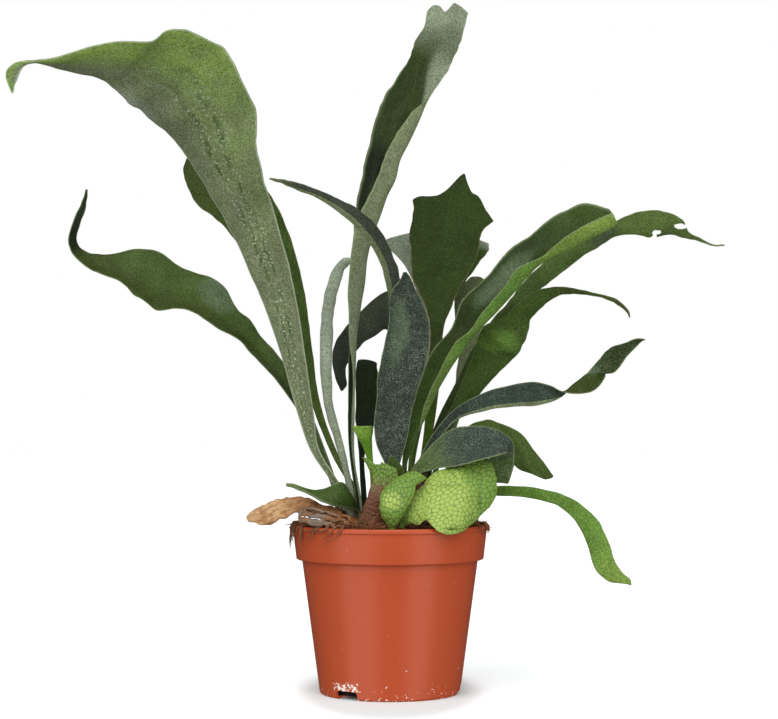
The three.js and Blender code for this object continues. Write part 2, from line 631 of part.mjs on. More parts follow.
// A closed blade round the middle surface. The two faces share one pattern of triangles.
// With grow it is that much larger on every side, which makes the socket that it stands in.
function leafGeometry(leaf, grow = 0) {
  const rows = leafSurface(leaf);
  if (grow > 0) {
    rows[0] = rows[0].map((point, j) => {
      const down = point.clone().sub(rows[1][j]).normalize();
      return point.clone().addScaledVector(down, grow);
    });
    for (const row of rows) {
      const side = row.at(-1).clone().sub(row[0]).normalize();
      row[0].addScaledVector(side, -grow);
      row.at(-1).addScaledVector(side, grow);
    }
  }
  const height = rows.length;
  const width = rows[0].length;
  const near = [];
  const far = [];
  rows.forEach((row, i) => {
    const thickness = leafThickness(leaf, i / (height - 1)) + 2 * grow;
    row.forEach((point, j) => {
      const across = row[Math.min(width - 1, j + 1)].clone().sub(row[Math.max(0, j - 1)]);
      const along = rows[Math.min(height - 1, i + 1)][j].clone().sub(rows[Math.max(0, i - 1)][j]);
      const normal = across.cross(along).normalize();
      near.push(point.clone().addScaledVector(normal, thickness / 2));
      far.push(point.clone().addScaledVector(normal, -thickness / 2));
    });
  });
  const at = (i, j) => i * width + j;
  const behind = near.length;
  const faces = [];
  for (let i = 0; i < height - 1; i += 1) {
    for (let j = 0; j < width - 1; j += 1) {
      const corners = [at(i, j), at(i, j + 1), at(i + 1, j + 1), at(i + 1, j)];
      const [p, q, r, s] = corners;
      const split = (i + j) % 2 === 0 ? [[p, q, r], [p, r, s]] : [[p, q, s], [q, r, s]];
      for (const [a, b, c] of split) {
        faces.push(a, b, c, behind + a, behind + c, behind + b);
      }
    }
  }
  const border = [];
  for (let j = 0; j < width - 1; j += 1) border.push([at(0, j), at(0, j + 1)]);
  for (let i = 0; i < height - 1; i += 1) border.push([at(i, width - 1), at(i + 1, width - 1)]);
  for (let j = width - 1; j > 0; j -= 1) border.push([at(height - 1, j), at(height - 1, j - 1)]);
  for (let i = height - 1; i > 0; i -= 1) border.push([at(i, 0), at(i - 1, 0)]);
  for (const [a, b] of border) {
    faces.push(b, a, behind + a, b, behind + a, behind + b);
  }
  const geometry = new THREE.BufferGeometry();
  const points = [...near, ...far].flatMap((p) => [p.x, p.y, p.z]);
  geometry.setAttribute("position", new THREE.Float32BufferAttribute(points, 3));
  geometry.setIndex(faces);
  return geometry;
}

function turned(profile, sides) {
  const geometry = new THREE.LatheGeometry(profile.map(([r, z]) => new THREE.Vector2(r, z)), sides);
  geometry.rotateX(Math.PI / 2);
  return solid(geometry);
}

// A round pot with a banded rim, a rolled lip and three open notches in its foot
function potSolid() {
  const bandFoot = POT_HEIGHT - BAND_HEIGHT;
  const slope = (BODY_TOP_RADIUS - BASE_RADIUS) / bandFoot;
  const outer = [
    [0, 0],
    [BASE_RADIUS - 2, 0],
    [BASE_RADIUS - 0.6, 0.6],
    [BASE_RADIUS, 2],
    [BASE_RADIUS + slope * 40, 40],
    [BODY_TOP_RADIUS, bandFoot - 0.6],
    [BODY_TOP_RADIUS + 0.6, bandFoot],
    [BAND_FOOT_RADIUS - 0.5, bandFoot],
    [BAND_FOOT_RADIUS, bandFoot + 0.6],
    [RIM_RADIUS - 0.7, POT_HEIGHT - 3.2],
    [RIM_RADIUS, POT_HEIGHT - 2.4],
    [RIM_RADIUS, POT_HEIGHT - 0.6],
    [RIM_RADIUS - 0.6, POT_HEIGHT],
  ];
  const inner = [
    [RIM_RADIUS - WALL - LIP, POT_HEIGHT],
    [RIM_RADIUS - WALL - LIP, POT_HEIGHT - 1],
    [BAND_FOOT_RADIUS - WALL, bandFoot + WALL + 1],
    [BODY_TOP_RADIUS - WALL, bandFoot - 1],
    [BASE_RADIUS - WALL + slope * WALL, WALL],
    [0, WALL],
  ];
  let pot = turned([...outer, ...inner], POT_SIDES);
  for (const angle of NOTCH_ANGLES) {
    const notch = new THREE.BoxGeometry(16, NOTCH_WIDTH, 2 * NOTCH_HEIGHT);
    notch.translate(BASE_RADIUS - 1, 0, 0);
    notch.rotateZ(degrees(angle));
    pot = pot.subtract(solid(notch));
  }
  return pot;
}

// The potting mix fills the pot, with a low mound and lumps of bark on top
function mixSolid() {
  const bandFoot = POT_HEIGHT - BAND_HEIGHT;
  const gap = WALL + CLEARANCE + 0.1;
  const edge = RIM_RADIUS - LIP - gap - 0.6;
  const profile = [
    [0, WALL + CLEARANCE],
    [BASE_RADIUS - gap - 0.4, WALL + CLEARANCE],
    [BODY_TOP_RADIUS - gap, bandFoot - 0.6],
    [BAND_FOOT_RADIUS - gap, bandFoot + WALL + 1.6],
    [edge, MIX_EDGE],
  ];
  const rings = 7;
  for (let ring = 1; ring < rings; ring += 1) {
    const share = ring / rings;
    profile.push([edge * (1 - share), THREE.MathUtils.lerp(MIX_EDGE, MIX_CROWN, smooth(0, 1, share))]);
  }
  profile.push([0, MIX_CROWN]);
  const geometry = new THREE.LatheGeometry(profile.map(([r, z]) => new THREE.Vector2(r, z)), MIX_SIDES);
  geometry.rotateX(Math.PI / 2);
  const place = geometry.getAttribute("position");
  for (let i = 0; i < place.count; i += 1) {
    const [x, y, z] = [place.getX(i), place.getY(i), place.getZ(i)];
    const inside = smooth(0, 8, edge - Math.hypot(x, y));
    const coarse = Math.sin(0.55 * x + 0.4 * y) + Math.sin(0.7 * y - 0.33 * x + 1);
    const fine = Math.sin(0.9 * x - 0.8 * y);
    place.setZ(i, z > MIX_EDGE - 1 ? z + MIX_LUMP * inside * (coarse + fine) : z);
  }
  return solid(geometry);
}

// A crown is the creeping stem's end: a scaly lump that the stalks grow out of
function crownSolid(crown, grow = 0) {
  const { half_width, half_depth, foot, top } = crown;
  const height = top - foot;
  const profile = [
    [0, foot - grow],
    [0.78, foot - grow],
    [0.95, foot + 0.12 * height],
    [1, foot + 0.35 * height],
    [0.97, foot + 0.6 * height],
    [0.85, foot + 0.8 * height],
    [0.6, foot + 0.93 * height],
    [0.3, top + grow],
    [0, top + grow],
  ];
  const geometry = new THREE.LatheGeometry(profile.map(([r, z]) => new THREE.Vector2(r, z)), CROWN_SIDES);
  geometry.rotateX(Math.PI / 2);
  const place = geometry.getAttribute("position");
  for (let i = 0; i < place.count; i += 1) {
    const [x, y, z] = [place.getX(i), place.getY(i), place.getZ(i)];
    const scale = grow > 0 ? 1 : 1 - SCALE_RELIEF * (0.5 + 0.5 * Math.sin(6 * Math.atan2(y, x) + 0.7 * z));
    place.setXYZ(i, x * scale * (half_width + grow), y * scale * (half_depth + grow), z);
  }
  geometry.translate(crown.x, crown.y, 0);
  return solid(geometry);
}

// Dry roots: a flat mat on the mix, with strands that creep over the rim and hang down outside
const FIBRE_MATS = {
  root_fibres_left: {
    x: -40, y: -22, z: 102, half_width: 9, half_depth: 9, half_height: 1.8,
    strands: [[-150, 9], [-157, 15], [-164, 7], [-143, 12], [-137, 6], [-171, 10]],
  },
  root_fibres_right: {
    x: 46, y: -13, z: 101.6, half_width: 7, half_depth: 7, half_height: 1.6,
    strands: [[-10, 3], [-19, 4]],
  },
};
const STRAND_RADIUS = 0.75;

function fibreSolid(mat) {
  const lens = new THREE.SphereGeometry(1, 10, 6);
  lens.scale(mat.half_width, mat.half_depth, mat.half_height);
  lens.translate(mat.x, mat.y, mat.z);
  let shape = solid(lens);
  for (const [angle, drop] of mat.strands) {
    const out = new THREE.Vector3(Math.cos(degrees(angle)), Math.sin(degrees(angle)), 0);
    const clear = RIM_RADIUS + STRAND_RADIUS + 2 * CLEARANCE;
    const over = POT_HEIGHT + STRAND_RADIUS + 2 * CLEARANCE;
    const path = new THREE.CatmullRomCurve3([
      new THREE.Vector3(mat.x, mat.y, mat.z),
      out.clone().multiplyScalar(RIM_RADIUS - 6).setZ(over),
      out.clone().multiplyScalar(RIM_RADIUS - 0.5).setZ(over + 0.5),
      out.clone().multiplyScalar(clear + 0.4).setZ(POT_HEIGHT - 1.4),
      out.clone().multiplyScalar(clear).setZ(POT_HEIGHT - 0.5 * drop - 2),
      out.clone().multiplyScalar(clear).setZ(POT_HEIGHT - drop - 2),
    ]);
    const section = new THREE.Shape();
    for (let corner = 0; corner < 3; corner += 1) {
      const turn = degrees(120 * corner);
      const [x, y] = [STRAND_RADIUS * Math.cos(turn), STRAND_RADIUS * Math.sin(turn)];
      if (corner === 0) section.moveTo(x, y);
      else section.lineTo(x, y);
    }
    const strand = new THREE.ExtrudeGeometry(section, { steps: 8, extrudePath: path });
    shape = shape.add(solid(strand));
  }
  return shape;
}

function named(name, shape, colour, roughness) {
  const material = new THREE.MeshStandardMaterial({ color: colour, roughness, metalness: 0 });
  const mesh = new THREE.Mesh(shape, material);
  mesh.name = name;
  return mesh;
}

const fern = new THREE.Group();
fern.add(named("pot", geometryOf(potSolid()), "#b8502c", 0.45));

const leaves = Object.entries(LEAVES);
const sockets = leaves.map(([, leaf]) => solid(leafGeometry(leaf, SOCKET_CLEARANCE)));
const allSockets = wasm.Manifold.union(sockets);

let mix = mixSolid().subtract(allSockets);
for (const [name, crown] of Object.entries(CROWNS)) {
  mix = mix.subtract(crownSolid(crown, CLEARANCE));
  const body = largestBody(crownSolid(crown).subtract(allSockets));
  fern.add(named(`crown_${name}`, geometryOf(body), "#6b4a2e", 0.95));
}
for (const [name, mat] of Object.entries(FIBRE_MATS)) {
  const grown = { ...mat, half_height: mat.half_height + CLEARANCE };
  mix = mix.subtract(fibreSolid({ ...grown, strands: [] }));
  fern.add(named(name, geometryOf(largestBody(fibreSolid(mat).subtract(allSockets))), "#7a4a2a", 0.95));
}
fern.add(named("potting_mix", geometryOf(largestBody(mix)), "#4a3423", 1));

for (const [name, leaf] of leaves) {
  fern.add(named(name, leafGeometry(leaf), leaf.colour, 0.6));
}

export default fern;
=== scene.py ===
"""Staghorn fern in a round plastic nursery pot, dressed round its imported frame.

Metres, +Z up, front towards -Y, origin at the middle of the pot's base.
"""
import math
import random

import bmesh
import bpy
import numpy as np
from bpy.props import FloatProperty, FloatVectorProperty, IntProperty, PointerProperty
from mathutils import Matrix, Vector, noise


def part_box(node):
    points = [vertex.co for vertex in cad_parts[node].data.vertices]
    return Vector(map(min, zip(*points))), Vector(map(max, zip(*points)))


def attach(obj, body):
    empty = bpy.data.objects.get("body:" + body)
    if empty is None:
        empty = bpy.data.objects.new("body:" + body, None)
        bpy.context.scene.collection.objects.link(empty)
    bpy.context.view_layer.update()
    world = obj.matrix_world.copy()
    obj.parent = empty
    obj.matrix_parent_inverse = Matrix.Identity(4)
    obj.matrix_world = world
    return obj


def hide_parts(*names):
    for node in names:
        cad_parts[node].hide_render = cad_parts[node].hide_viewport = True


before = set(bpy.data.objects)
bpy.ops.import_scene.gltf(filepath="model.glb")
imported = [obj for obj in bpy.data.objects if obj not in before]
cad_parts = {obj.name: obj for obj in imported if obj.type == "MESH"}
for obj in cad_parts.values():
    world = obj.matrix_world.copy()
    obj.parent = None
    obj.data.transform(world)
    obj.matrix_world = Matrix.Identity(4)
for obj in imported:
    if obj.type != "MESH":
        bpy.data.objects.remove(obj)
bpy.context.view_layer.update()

bl_info = {
    "name": "Staghorn fern in a nursery pot",
    "version": (1, 0, 0),
    "blender": (4, 5, 0),
    "location": "View3D > Sidebar > Fern",
    "description": "Builds the fern's fronds, shields, roots, potting mix and pot round the frame",
    "category": "Object",
}

MM = 0.001

# The pot: its rim and height are the frame's. Its foot is open at notches, at angles in degrees.
POT_LOW, POT_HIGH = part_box("pot")
RIM_RADIUS = (POT_HIGH.x - POT_LOW.x) / 2
POT_HEIGHT = POT_HIGH.z
BAND_HEIGHT = 21 * MM
BAND_FOOT_RADIUS = 57.2 * MM
BODY_TOP_RADIUS = 53.6 * MM
BASE_RADIUS = 42.6 * MM
WALL = 1.6 * MM
LIP = 1.1 * MM
NOTCH_WIDTH = 15.5 * MM
NOTCH_HEIGHT = 5.2 * MM
NOTCH_DEPTH = 24 * MM
NOTCH_ROUND = 2.2 * MM
NOTCH_ANGLES = (-127, -7, 113)
POT_STEPS = 160

# The mix: how far its edge lies below its middle, and the steps round it
MIX_DROP = 5.5 * MM
MIX_STEPS = 96

# The leaf outlines below are in millimetres, as they look from this point, in the plane of the pot's
# axis. A depth then moves each point along its line of sight: negative is towards the viewer.
VIEW_DISTANCE = 1150
VIEW_HEIGHT = 166

# In millimetres too: a shield's thickness, the length of a margin's wave, and the faces of green and dry
# shields, which are small enough to hold the net of veins and the crinkles
SHIELD_THICK = 1.1
WAVE_LENGTH = 34
GREEN_CELL = 0.36
DRY_CELL = 0.5

# Where the camera looks and how wide its sensor is; the reflector cards to its left and right, each with
# its azimuth in degrees and its width; and the lights, by where they come from
CAMERA_AIM = Vector((-0.6 * MM, 0, 202.4 * MM))
SENSOR_WIDTH = 36
CARD_DISTANCE = 1.3
CARD_MIDDLE = 0.1
CARD_HEIGHT = 2.4
CARDS = {"left_card": (-43.5, 1.18), "right_card": (44.5, 0.87)}
LIGHTS = {"key": (-0.36, -1.0, 1.1), "fill": (0.8, -0.9, 0.7)}
LIGHT_AIM = Vector((0, 0, 0.2))
LIGHT_WIDTH = math.radians(70)
FLOOR_WIDTH = 12

# Each leaf is a row of stations from foot to tip. A station has the x, z and depth of its left edge and
# of its right edge, looking from the foot to the tip with the near face up, and between them those of its
# fold, where the leaf has one. "lean" moves the tip back, "stalk" is the share along where the blade
# opens, "cup" bulges it by a share of its width, "thick" is its own thickness, and "lobes" are shares
# across and how far the tip reaches there.
LEAVES = {
    "frond_great_left": {
        "lean": -50, "stalk": 0.2, "cup": 0.06,
        "stations": (
            (-28.5, 105, -5, -24.5, 105, -5), (-29, 118, -5, -25.5, 118, -5),
            (-35, 127, -6, -31.5, 128, -6), (-48.5, 147, -8, -43.5, 148, -8),
            (-55.5, 166, -10, -46.5, 169, -10), (-67, 206, -13, -51.5, 203, -15),
            (-77, 235, -16, -57.5, 241, -20), (-87, 258, -18, -63.5, 267, -25),
            (-98.5, 283, -20, -71, 293, -30), (-112, 306, -22, -76.5, 311, -36),
            (-126, 328, -24, -81.5, 332, -42), (-137, 342, -26, -82, 353, -48),
            (-147, 351, -28, -88, 369, -54), (-154, 358, -30, -101.5, 394, -59),
            (-159.5, 362, -31, -113, 399.5, -61), (-165, 366, -32, -127, 406, -62),
            (-170.5, 370, -33, -138, 405.5, -61), (-176, 374, -34, -147, 399, -60),
            (-190, 378, -36, -168, 398.5, -56), (-202, 380, -38, -189, 396, -52),
            (-212, 383.5, -40, -204, 391, -48), (-221, 384.5, -42, -219, 387, -45),
            (-227, 380.5, -45, -231, 385, -44), (-229.5, 374, -46, -236.5, 378.5, -44),
            (-231, 368.5, -46, -234.5, 371, -45), (-232, 366, -46, -232.8, 366.5, -45),
        ),
    },
    "frond_behind_great": {
        "lean": 60, "stalk": 0.22, "cup": -0.05,
        "stations": (
            (-21, 105, 3, -17.5, 105, 3), (-22, 119, 3, -18.5, 119, 3), (-35, 143, 3, -31, 143, 3),
            (-46.5, 171, 2, -42, 173, 2), (-53, 191, 1, -46.5, 200, 1), (-62.5, 216, 0, -50, 229, 0),
            (-75, 243, 0, -54.5, 255, -2), (-90, 269, -1, -60.5, 275, -4),
            (-105, 287, -2, -69, 296, -6), (-119, 298, -4, -81, 313, -8), (-125, 310, -6, -99, 326, -8),
            (-127, 318, -8, -116, 328, -8), (-125.5, 325, -8, -124, 328, -8),
        ),
    },
    "frond_low_left": {
        "lean": 44, "stalk": 0.18, "cup": -0.08,
        "stations": (
            (-33.5, 108, 4, -30.5, 108, 4), (-34.5, 121, 4, -31, 121, 4), (-44, 145, 3, -40, 148, 3),
            (-54, 167, 2, -49, 171, 2), (-68.5, 188, 0, -62, 196, 2), (-82, 203, -2, -72, 209, 4),
            (-94, 215, -4, -81.5, 221, 6), (-105, 222, -6, -92.5, 233, 8),
            (-120, 230, -8, -100.5, 245, 10), (-132, 234, -10, -114.5, 253, 12),
            (-145, 234, -14, -128.5, 261, 10), (-155, 242.5, -16, -141.5, 268, 8),
            (-163, 248.5, -14, -155.5, 269, 4), (-177.5, 254.5, -12, -172.5, 268, 2),
            (-188.5, 261, -12, -185, 268, -2), (-196.5, 271, -12, -190.5, 272, -6),
            (-197, 279, -12, -192, 278, -8), (-193, 291, -12, -189, 288, -10),
            (-188.5, 301, -12, -186, 298, -11), (-187, 307, -12, -185.5, 307, -12),
        ),
    },
    "frond_young_rolled": {
        "lean": -34, "stalk": 0.15, "cup": 0.3, "thick": 2.4,
        "stations": (
            (-25, 105, -10, -22, 105, -10), (-25.5, 119, -10, -22, 119, -10),
            (-28, 132, -10, -24.5, 132, -10), (-34.5, 155, -11, -30, 156, -11),
            (-40, 174, -12, -35, 176, -12), (-42.5, 197, -13, -35.5, 197, -13),
            (-42.5, 219, -14, -35, 219, -14), (-41.5, 233, -15, -34.5, 232, -15),
            (-39, 246, -16, -32, 244, -16), (-34.5, 258, -17, -29, 255, -17),
            (-29, 264, -18, -26, 260, -18), (-24.5, 265, -19, -23.5, 262, -19),
        ),
    },
    "frond_tall": {
        "lean": 42, "stalk": 0.2,
        "lobes": (
            (-1, 0), (-0.7, 5), (-0.35, 5), (-0.05, 0), (0.3, 8), (0.65, 5), (1, 0),
        ),
        "stations": (
            (-20, 105, -4, -18, 105, -4, -16, 105, -4), (-21, 118, -4, -19.2, 118, -4, -17.5, 118, -4),
            (-24.5, 142, -4, -23, 142, -4, -21.5, 142, -4),
            (-25.5, 167, -3, -23.2, 167, -5, -21.8, 167, -6),
            (-25.5, 191, -1, -22, 191, -4, -22.5, 191, -8),
            (-24.5, 222, 2, -20, 222, -3, -25.5, 222, -9),
            (-23, 246, 3, -16.5, 246, -3, -25.5, 246, -10),
            (-22, 266, 3, -13.5, 266, -3, -24.5, 266, -11),
            (-21.5, 294, 4, -8.5, 284, -3, -20, 288, -11), (-20, 304, 4, -3, 301, -3, -14, 301, -11),
            (-17, 318, 5, 2.5, 314, -2, -8, 314, -10), (-13.5, 332, 6, 6.5, 327, -1, -3, 328, -9),
            (-10.5, 345, 7, 11.5, 339, 0, 2.5, 338, -8), (-4.5, 362, 8, 18, 353, 2, 9.5, 350, -5),
            (4.5, 376, 8, 20, 364, 4, 22, 362, -1), (11.5, 387, 8, 22.5, 382, 6, 33, 376, 2),
            (15.5, 398, 9, 29, 397, 7, 41, 392, 5), (21.5, 410, 9, 33, 409, 8, 45.5, 405, 7),
            (22.5, 417, 9, 34.5, 416, 8, 48, 416, 7),
        ),
    },
    "frond_arching": {
        "lean": -60, "stalk": 0.25, "cup": 0.12,
        "stations": (
            (0.5, 128, 0, 3.5, 128, 0), (0.5, 142, -1, 4, 142, -1), (0.5, 167, -3, 5, 167, -3),
            (0.5, 191, -6, 6, 191, -6), (0.5, 216, -10, 8, 217, -9), (0, 234, -14, 8.5, 236, -13),
            (-2, 247, -18, 6, 252, -15), (-5.5, 260, -20, 3, 264, -16), (-11.5, 271, -22, -3, 277, -17),
            (-19.5, 282, -24, -11.5, 288, -19), (-30.5, 292, -26, -23.5, 297, -21),
            (-44, 301, -28, -37.5, 304, -24), (-59, 307, -30, -53.5, 310, -27),
            (-67.5, 311, -31, -64.5, 313, -30), (-74.5, 313, -32, -74, 314, -32),
        ),
    },
    "frond_dark_front": {
        "lean": -34, "stalk": 0.12, "cup": -0.1,
        "stations": (
            (0, 127, -8, 3.5, 127, -8), (-2.5, 137, -10, 6, 138, -10), (-8.5, 151, -12, 10, 152, -12),
            (-10, 165, -15, 13, 167, -15), (-8, 178, -18, 15.5, 178, -18), (-8, 190, -21, 19, 190, -21),
            (-5.5, 203, -25, 22.5, 201, -25), (-3, 214, -28, 24.5, 212, -28),
            (-0.5, 226, -31, 24.5, 226, -31), (-1, 236, -34, 21, 236, -34),
            (0.5, 244, -36, 16.5, 245, -36), (6, 252, -38, 13, 252, -38),
            (8.5, 256, -39, 10.5, 256, -39),
        ),
    },
    "frond_broad_upright": {
        "lean": 32, "stalk": 0.3, "cup": -0.06,
        "lobes": (
            (-1, 3.5), (-0.93, 6.5), (-0.85, 8), (-0.7, 9), (-0.5, 11.5), (-0.35, 18), (-0.25, 28),
            (-0.17, 33), (-0.1, 29.5), (0, 25.5), (0.12, 21.5), (0.2, 19), (0.38, 17.5), (0.5, 14.5),
            (0.69, 8), (0.86, 3.5), (1, 0),
        ),
        "stations": (
            (16, 127, 6, 19.5, 127, 6), (18.5, 141, 6, 22, 141, 6), (21, 160, 7, 26.5, 160, 7),
            (22, 179, 8, 29.5, 181, 8), (23.5, 200, 9, 32, 202, 9), (24.5, 220, 10, 33, 222, 10),
            (22, 233, 10, 37.5, 234, 10), (18, 244, 10, 43, 247, 10), (13.5, 254, 10, 50, 258, 10),
            (13, 268, 10, 54.5, 270, 10), (12, 279, 10, 56, 279, 10), (13.5, 290, 9, 57, 282, 9),
            (12.5, 298, 8, 64, 287, 8),
        ),
    },
    "frond_forked_back": {
        "lean": 44, "stalk": 0.35, "cup": 0.05,
        "lobes": (
            (-1, 0), (-0.66, 5), (-0.33, 9), (0, 6), (0.33, 6), (0.66, 4), (1, 0),
        ),
        "stations": (
            (10.5, 127, 14, 13.5, 127, 14), (12, 145, 15, 16, 145, 15), (17, 173, 18, 22, 173, 18),
            (21, 203, 20, 28, 203, 20), (21, 229, 22, 34, 229, 22), (16, 245, 22, 43, 245, 22),
            (8.5, 261, 22, 52.5, 258, 22), (0, 271, 21, 60, 269, 21), (-3, 275, 20, 61, 273, 20),
        ),
    },
    "frond_long_right": {
        "lean": -44, "stalk": 0.14,
        "stations": (
            (7.5, 127, -4, 9, 127, -4, 10.5, 127, -4), (7.5, 141, -5, 9.2, 141, -5, 11, 141, -5),
            (10, 154, -6, 13.5, 153, -8, 16, 152, -8), (13, 174, -5, 22.5, 170, -10, 20, 171, -13),
            (18.5, 191, -6, 31, 188, -12, 26.5, 187, -17), (24.5, 204, -6, 38, 200, -14, 32, 200, -20),
            (30.5, 214, -6, 46.5, 211, -15, 39, 211, -21), (37.5, 223, -6, 55, 222, -16, 47, 219, -22),
            (44.5, 238, -6, 62.5, 230, -16, 57, 231, -22),
            (54.5, 249, -6, 70.5, 239, -16, 64.5, 241, -22),
            (63.5, 259, -6, 78.5, 247, -16, 71.5, 250, -22),
            (74.5, 271, -6, 87, 257, -16, 80, 259, -22),
            (85.5, 279, -6, 97.5, 266, -16, 92.5, 266, -22),
            (95.5, 287, -6, 108.5, 271, -16, 101.5, 273, -22),
            (105.5, 294, -6, 120, 277, -16, 111.5, 280, -21),
            (116.5, 298, -8, 130, 281, -16, 122.5, 287, -20),
            (127.5, 297, -10, 136.5, 284, -16, 131, 291, -18),
            (135, 295, -12, 139.5, 286, -15, 136.5, 293, -16),
        ),
    },
    "frond_torn_right": {
        "lean": 62, "stalk": 0.2, "cup": 0.06,
        "stations": (
            (19, 127, 13, 22, 127, 13), (22, 145, 13, 25.5, 144, 13), (29.5, 167, 13, 35, 164, 13),
            (40, 188, 13, 47, 184, 13), (49.5, 208, 13, 59, 204, 13), (61, 225, 12, 70.5, 220, 12),
            (72.5, 238, 11, 81, 236, 11), (81, 249, 10, 90.5, 244, 10), (92, 260, 9, 102, 253, 9),
            (105.5, 270, 8, 114.5, 263, 8), (123.5, 279, 6, 127.5, 271, 6),
            (141.5, 289, 4, 136.5, 277, 4), (157, 294, 2, 148, 279, 2), (170, 293, 0, 161, 277, 0),
            (179.5, 288, -1, 170, 279, -1), (183.5, 281, -2, 180, 277, -2),
            (190, 277, -3, 189, 275, -3), (198.5, 273, -4, 198.5, 272, -4),
            (205, 273, -5, 205, 272, -5),
        ),
    },
    "frond_folded_right": {
        "lean": 18, "stalk": 0.15, "cup": 0.1,
        "stations": (
            (21, 127, 0, 24, 127, 0), (24.5, 145, 0, 28, 144, 0), (30.5, 159, -1, 35.5, 158, -1),
            (38.5, 176, -2, 49, 174, -2), (44.5, 190, -3, 62.5, 190, -3),
            (49.5, 202, -4, 71.5, 199, -4), (52.5, 212, -4, 78.5, 206, -4), (57, 222, -5, 84, 217, -5),
            (69, 228, -5, 86.5, 227, -5), (78.5, 237, -6, 92, 233, -6), (87.5, 244, -6, 99, 239, -6),
            (103, 247, -7, 106.5, 242, -7), (117.5, 245, -8, 119, 242, -8),
            (131, 242, -9, 130.5, 240, -9), (141, 238, -10, 139, 236, -10),
            (146.5, 231, -11, 145, 231, -11), (147, 228, -11, 146.5, 228, -11),
        ),
    },
    "frond_twisted_right": {
        "lean": -50, "stalk": 0.16, "cup": -0.06,
        "stations": (
            (14, 126, -2, 17, 126, -2), (16.5, 138, -4, 20, 138, -4), (25.5, 156, -9, 29.5, 152, -9),
            (38, 171, -14, 40.5, 165, -14), (52.5, 180, -20, 54, 170, -20),
            (70, 186, -26, 71, 173, -26), (88, 189, -32, 88, 174, -32),
            (98.5, 186, -37, 101.5, 177, -35), (104.5, 182.6, -40, 106.5, 180.2, -35),
            (111, 181.2, -42, 112, 187, -35), (118.4, 181.5, -43, 116.5, 190.6, -35),
            (124.8, 183.6, -43, 119.4, 193, -34), (129.6, 187.6, -42, 122.6, 195.6, -34),
            (132.2, 192.8, -41, 125.8, 197.6, -34), (128.8, 197.4, -35, 129.3, 197.4, -41),
            (119.8, 192.8, -40, 133, 194, -46), (126.2, 200.6, -40, 138.2, 194.4, -46),
            (131.2, 206.6, -38, 141.8, 199.4, -44), (135.4, 210.2, -38, 146, 204.6, -42),
            (144, 212.8, -38, 150, 209.5, -40), (151, 215.3, -38, 153.5, 212.6, -38),
            (156.5, 214.8, -38, 156.3, 214.4, -38),
        ),
    },
    "frond_spoon": {
        "lean": -2, "stalk": 0.14, "cup": -0.12,
        "stations": (
            (11, 127, -9, 14, 126, -9), (13.5, 136, -12, 15, 131, -12), (19, 143, -16, 19.5, 133, -19),
            (27, 152, -20, 31, 136, -30), (36, 159, -24, 43, 137, -38), (47, 162, -26, 55, 140.5, -42),
            (60, 161.5, -28, 64.5, 143.5, -42), (69, 158, -28, 70, 145, -40),
            (74.5, 152.5, -28, 71.5, 145, -36), (76, 145, -26, 60, 142, -30),
            (75.5, 135, -24, 57, 135, -26), (73, 126, -22, 58, 127, -24),
        ),
    },
    "frond_drooping_right": {
        "lean": 38, "stalk": 0.25, "cup": 0.08,
        "stations": (
            (36.5, 110, 18, 39.5, 110, 18), (36, 121, 18, 39, 121, 18), (35.5, 139, 16, 40.5, 137, 16),
            (40, 154, 13, 48, 149, 13), (48, 162, 10, 59, 149, 10), (59.5, 166, 8, 66, 145, 8),
            (71, 162, 6, 73, 140, 6), (81, 156, 4, 79, 135, 4), (89.5, 145, 2, 87, 132, 2),
            (95, 138, 0, 95, 129, 0), (100, 131, 0, 99, 130, 0),
        ),
    },
    "frond_low_right": {
        "lean": -30, "stalk": 0.14, "cup": 0.06,
        "stations": (
            (41.5, 112, 10, 42.5, 108, 10), (46.5, 119, 8, 48.5, 116, 8), (55, 124, 5, 56.5, 119, 5),
            (65, 125, 2, 65.5, 119, 2), (80, 125, 0, 79, 119, 0), (95, 123, -2, 93, 116, -2),
            (108, 119, -4, 102.5, 113, -4), (118, 113, -6, 109.5, 107, -6),
            (125.5, 106, -8, 116.5, 98, -8), (130.5, 98, -10, 120.5, 89, -10),
            (134, 89, -11, 123, 80, -11), (137, 80, -12, 127.5, 71, -12), (142, 73, -12, 134, 67, -12),
            (146.5, 68, -12, 141, 65.5, -12), (147.5, 64, -12, 146.5, 65, -12),
        ),
    },
    "frond_back_right": {
        "lean": 50, "stalk": 0.2, "cup": 0.05,
        "stations": (
            (23.5, 127, 12, 26.5, 127, 12), (29.5, 143, 15, 33, 143, 15), (35, 160, 18, 40.5, 160, 18),
            (39, 179, 21, 46.5, 179, 21), (40.5, 196, 24, 50, 198, 24), (42.5, 209, 26, 55, 212, 26),
            (40.5, 225, 29, 59, 227, 29), (39, 238, 31, 60, 240, 31), (44.5, 248, 32, 59.5, 249, 32),
            (49, 253, 33, 55.5, 253, 33),
        ),
    },
    "frond_back_left": {
        "lean": 44, "stalk": 0.2, "cup": 0.08,
        "stations": (
            (0, 127, 12, 3, 127, 12), (1, 148, 15, 5.5, 148, 15), (2.5, 173, 19, 9, 173, 19),
            (2, 197, 23, 13.5, 200, 23), (0.5, 212, 26, 14.5, 225, 26), (-1, 219, 27, 10, 239, 27),
            (-3.5, 221, 26, 0, 245, 27), (-8.5, 217, 25, -12, 238, 26),
            (-16.5, 212, 24, -22.5, 227, 24), (-22.5, 205, 23, -30.5, 218, 23),
            (-26.5, 198, 22, -35, 209, 22), (-26.5, 191, 21, -35, 200, 21),
            (-26.5, 186, 20, -33, 190, 20), (-29.5, 183, 20, -30.5, 184, 20),
        ),
    },
    "frond_back_centre": {
        "lean": 22, "stalk": 0.25, "cup": 0.05,
        "stations": (
            (-16.5, 108, 8, -13.5, 108, 8), (-18, 124, 9, -14.5, 124, 9),
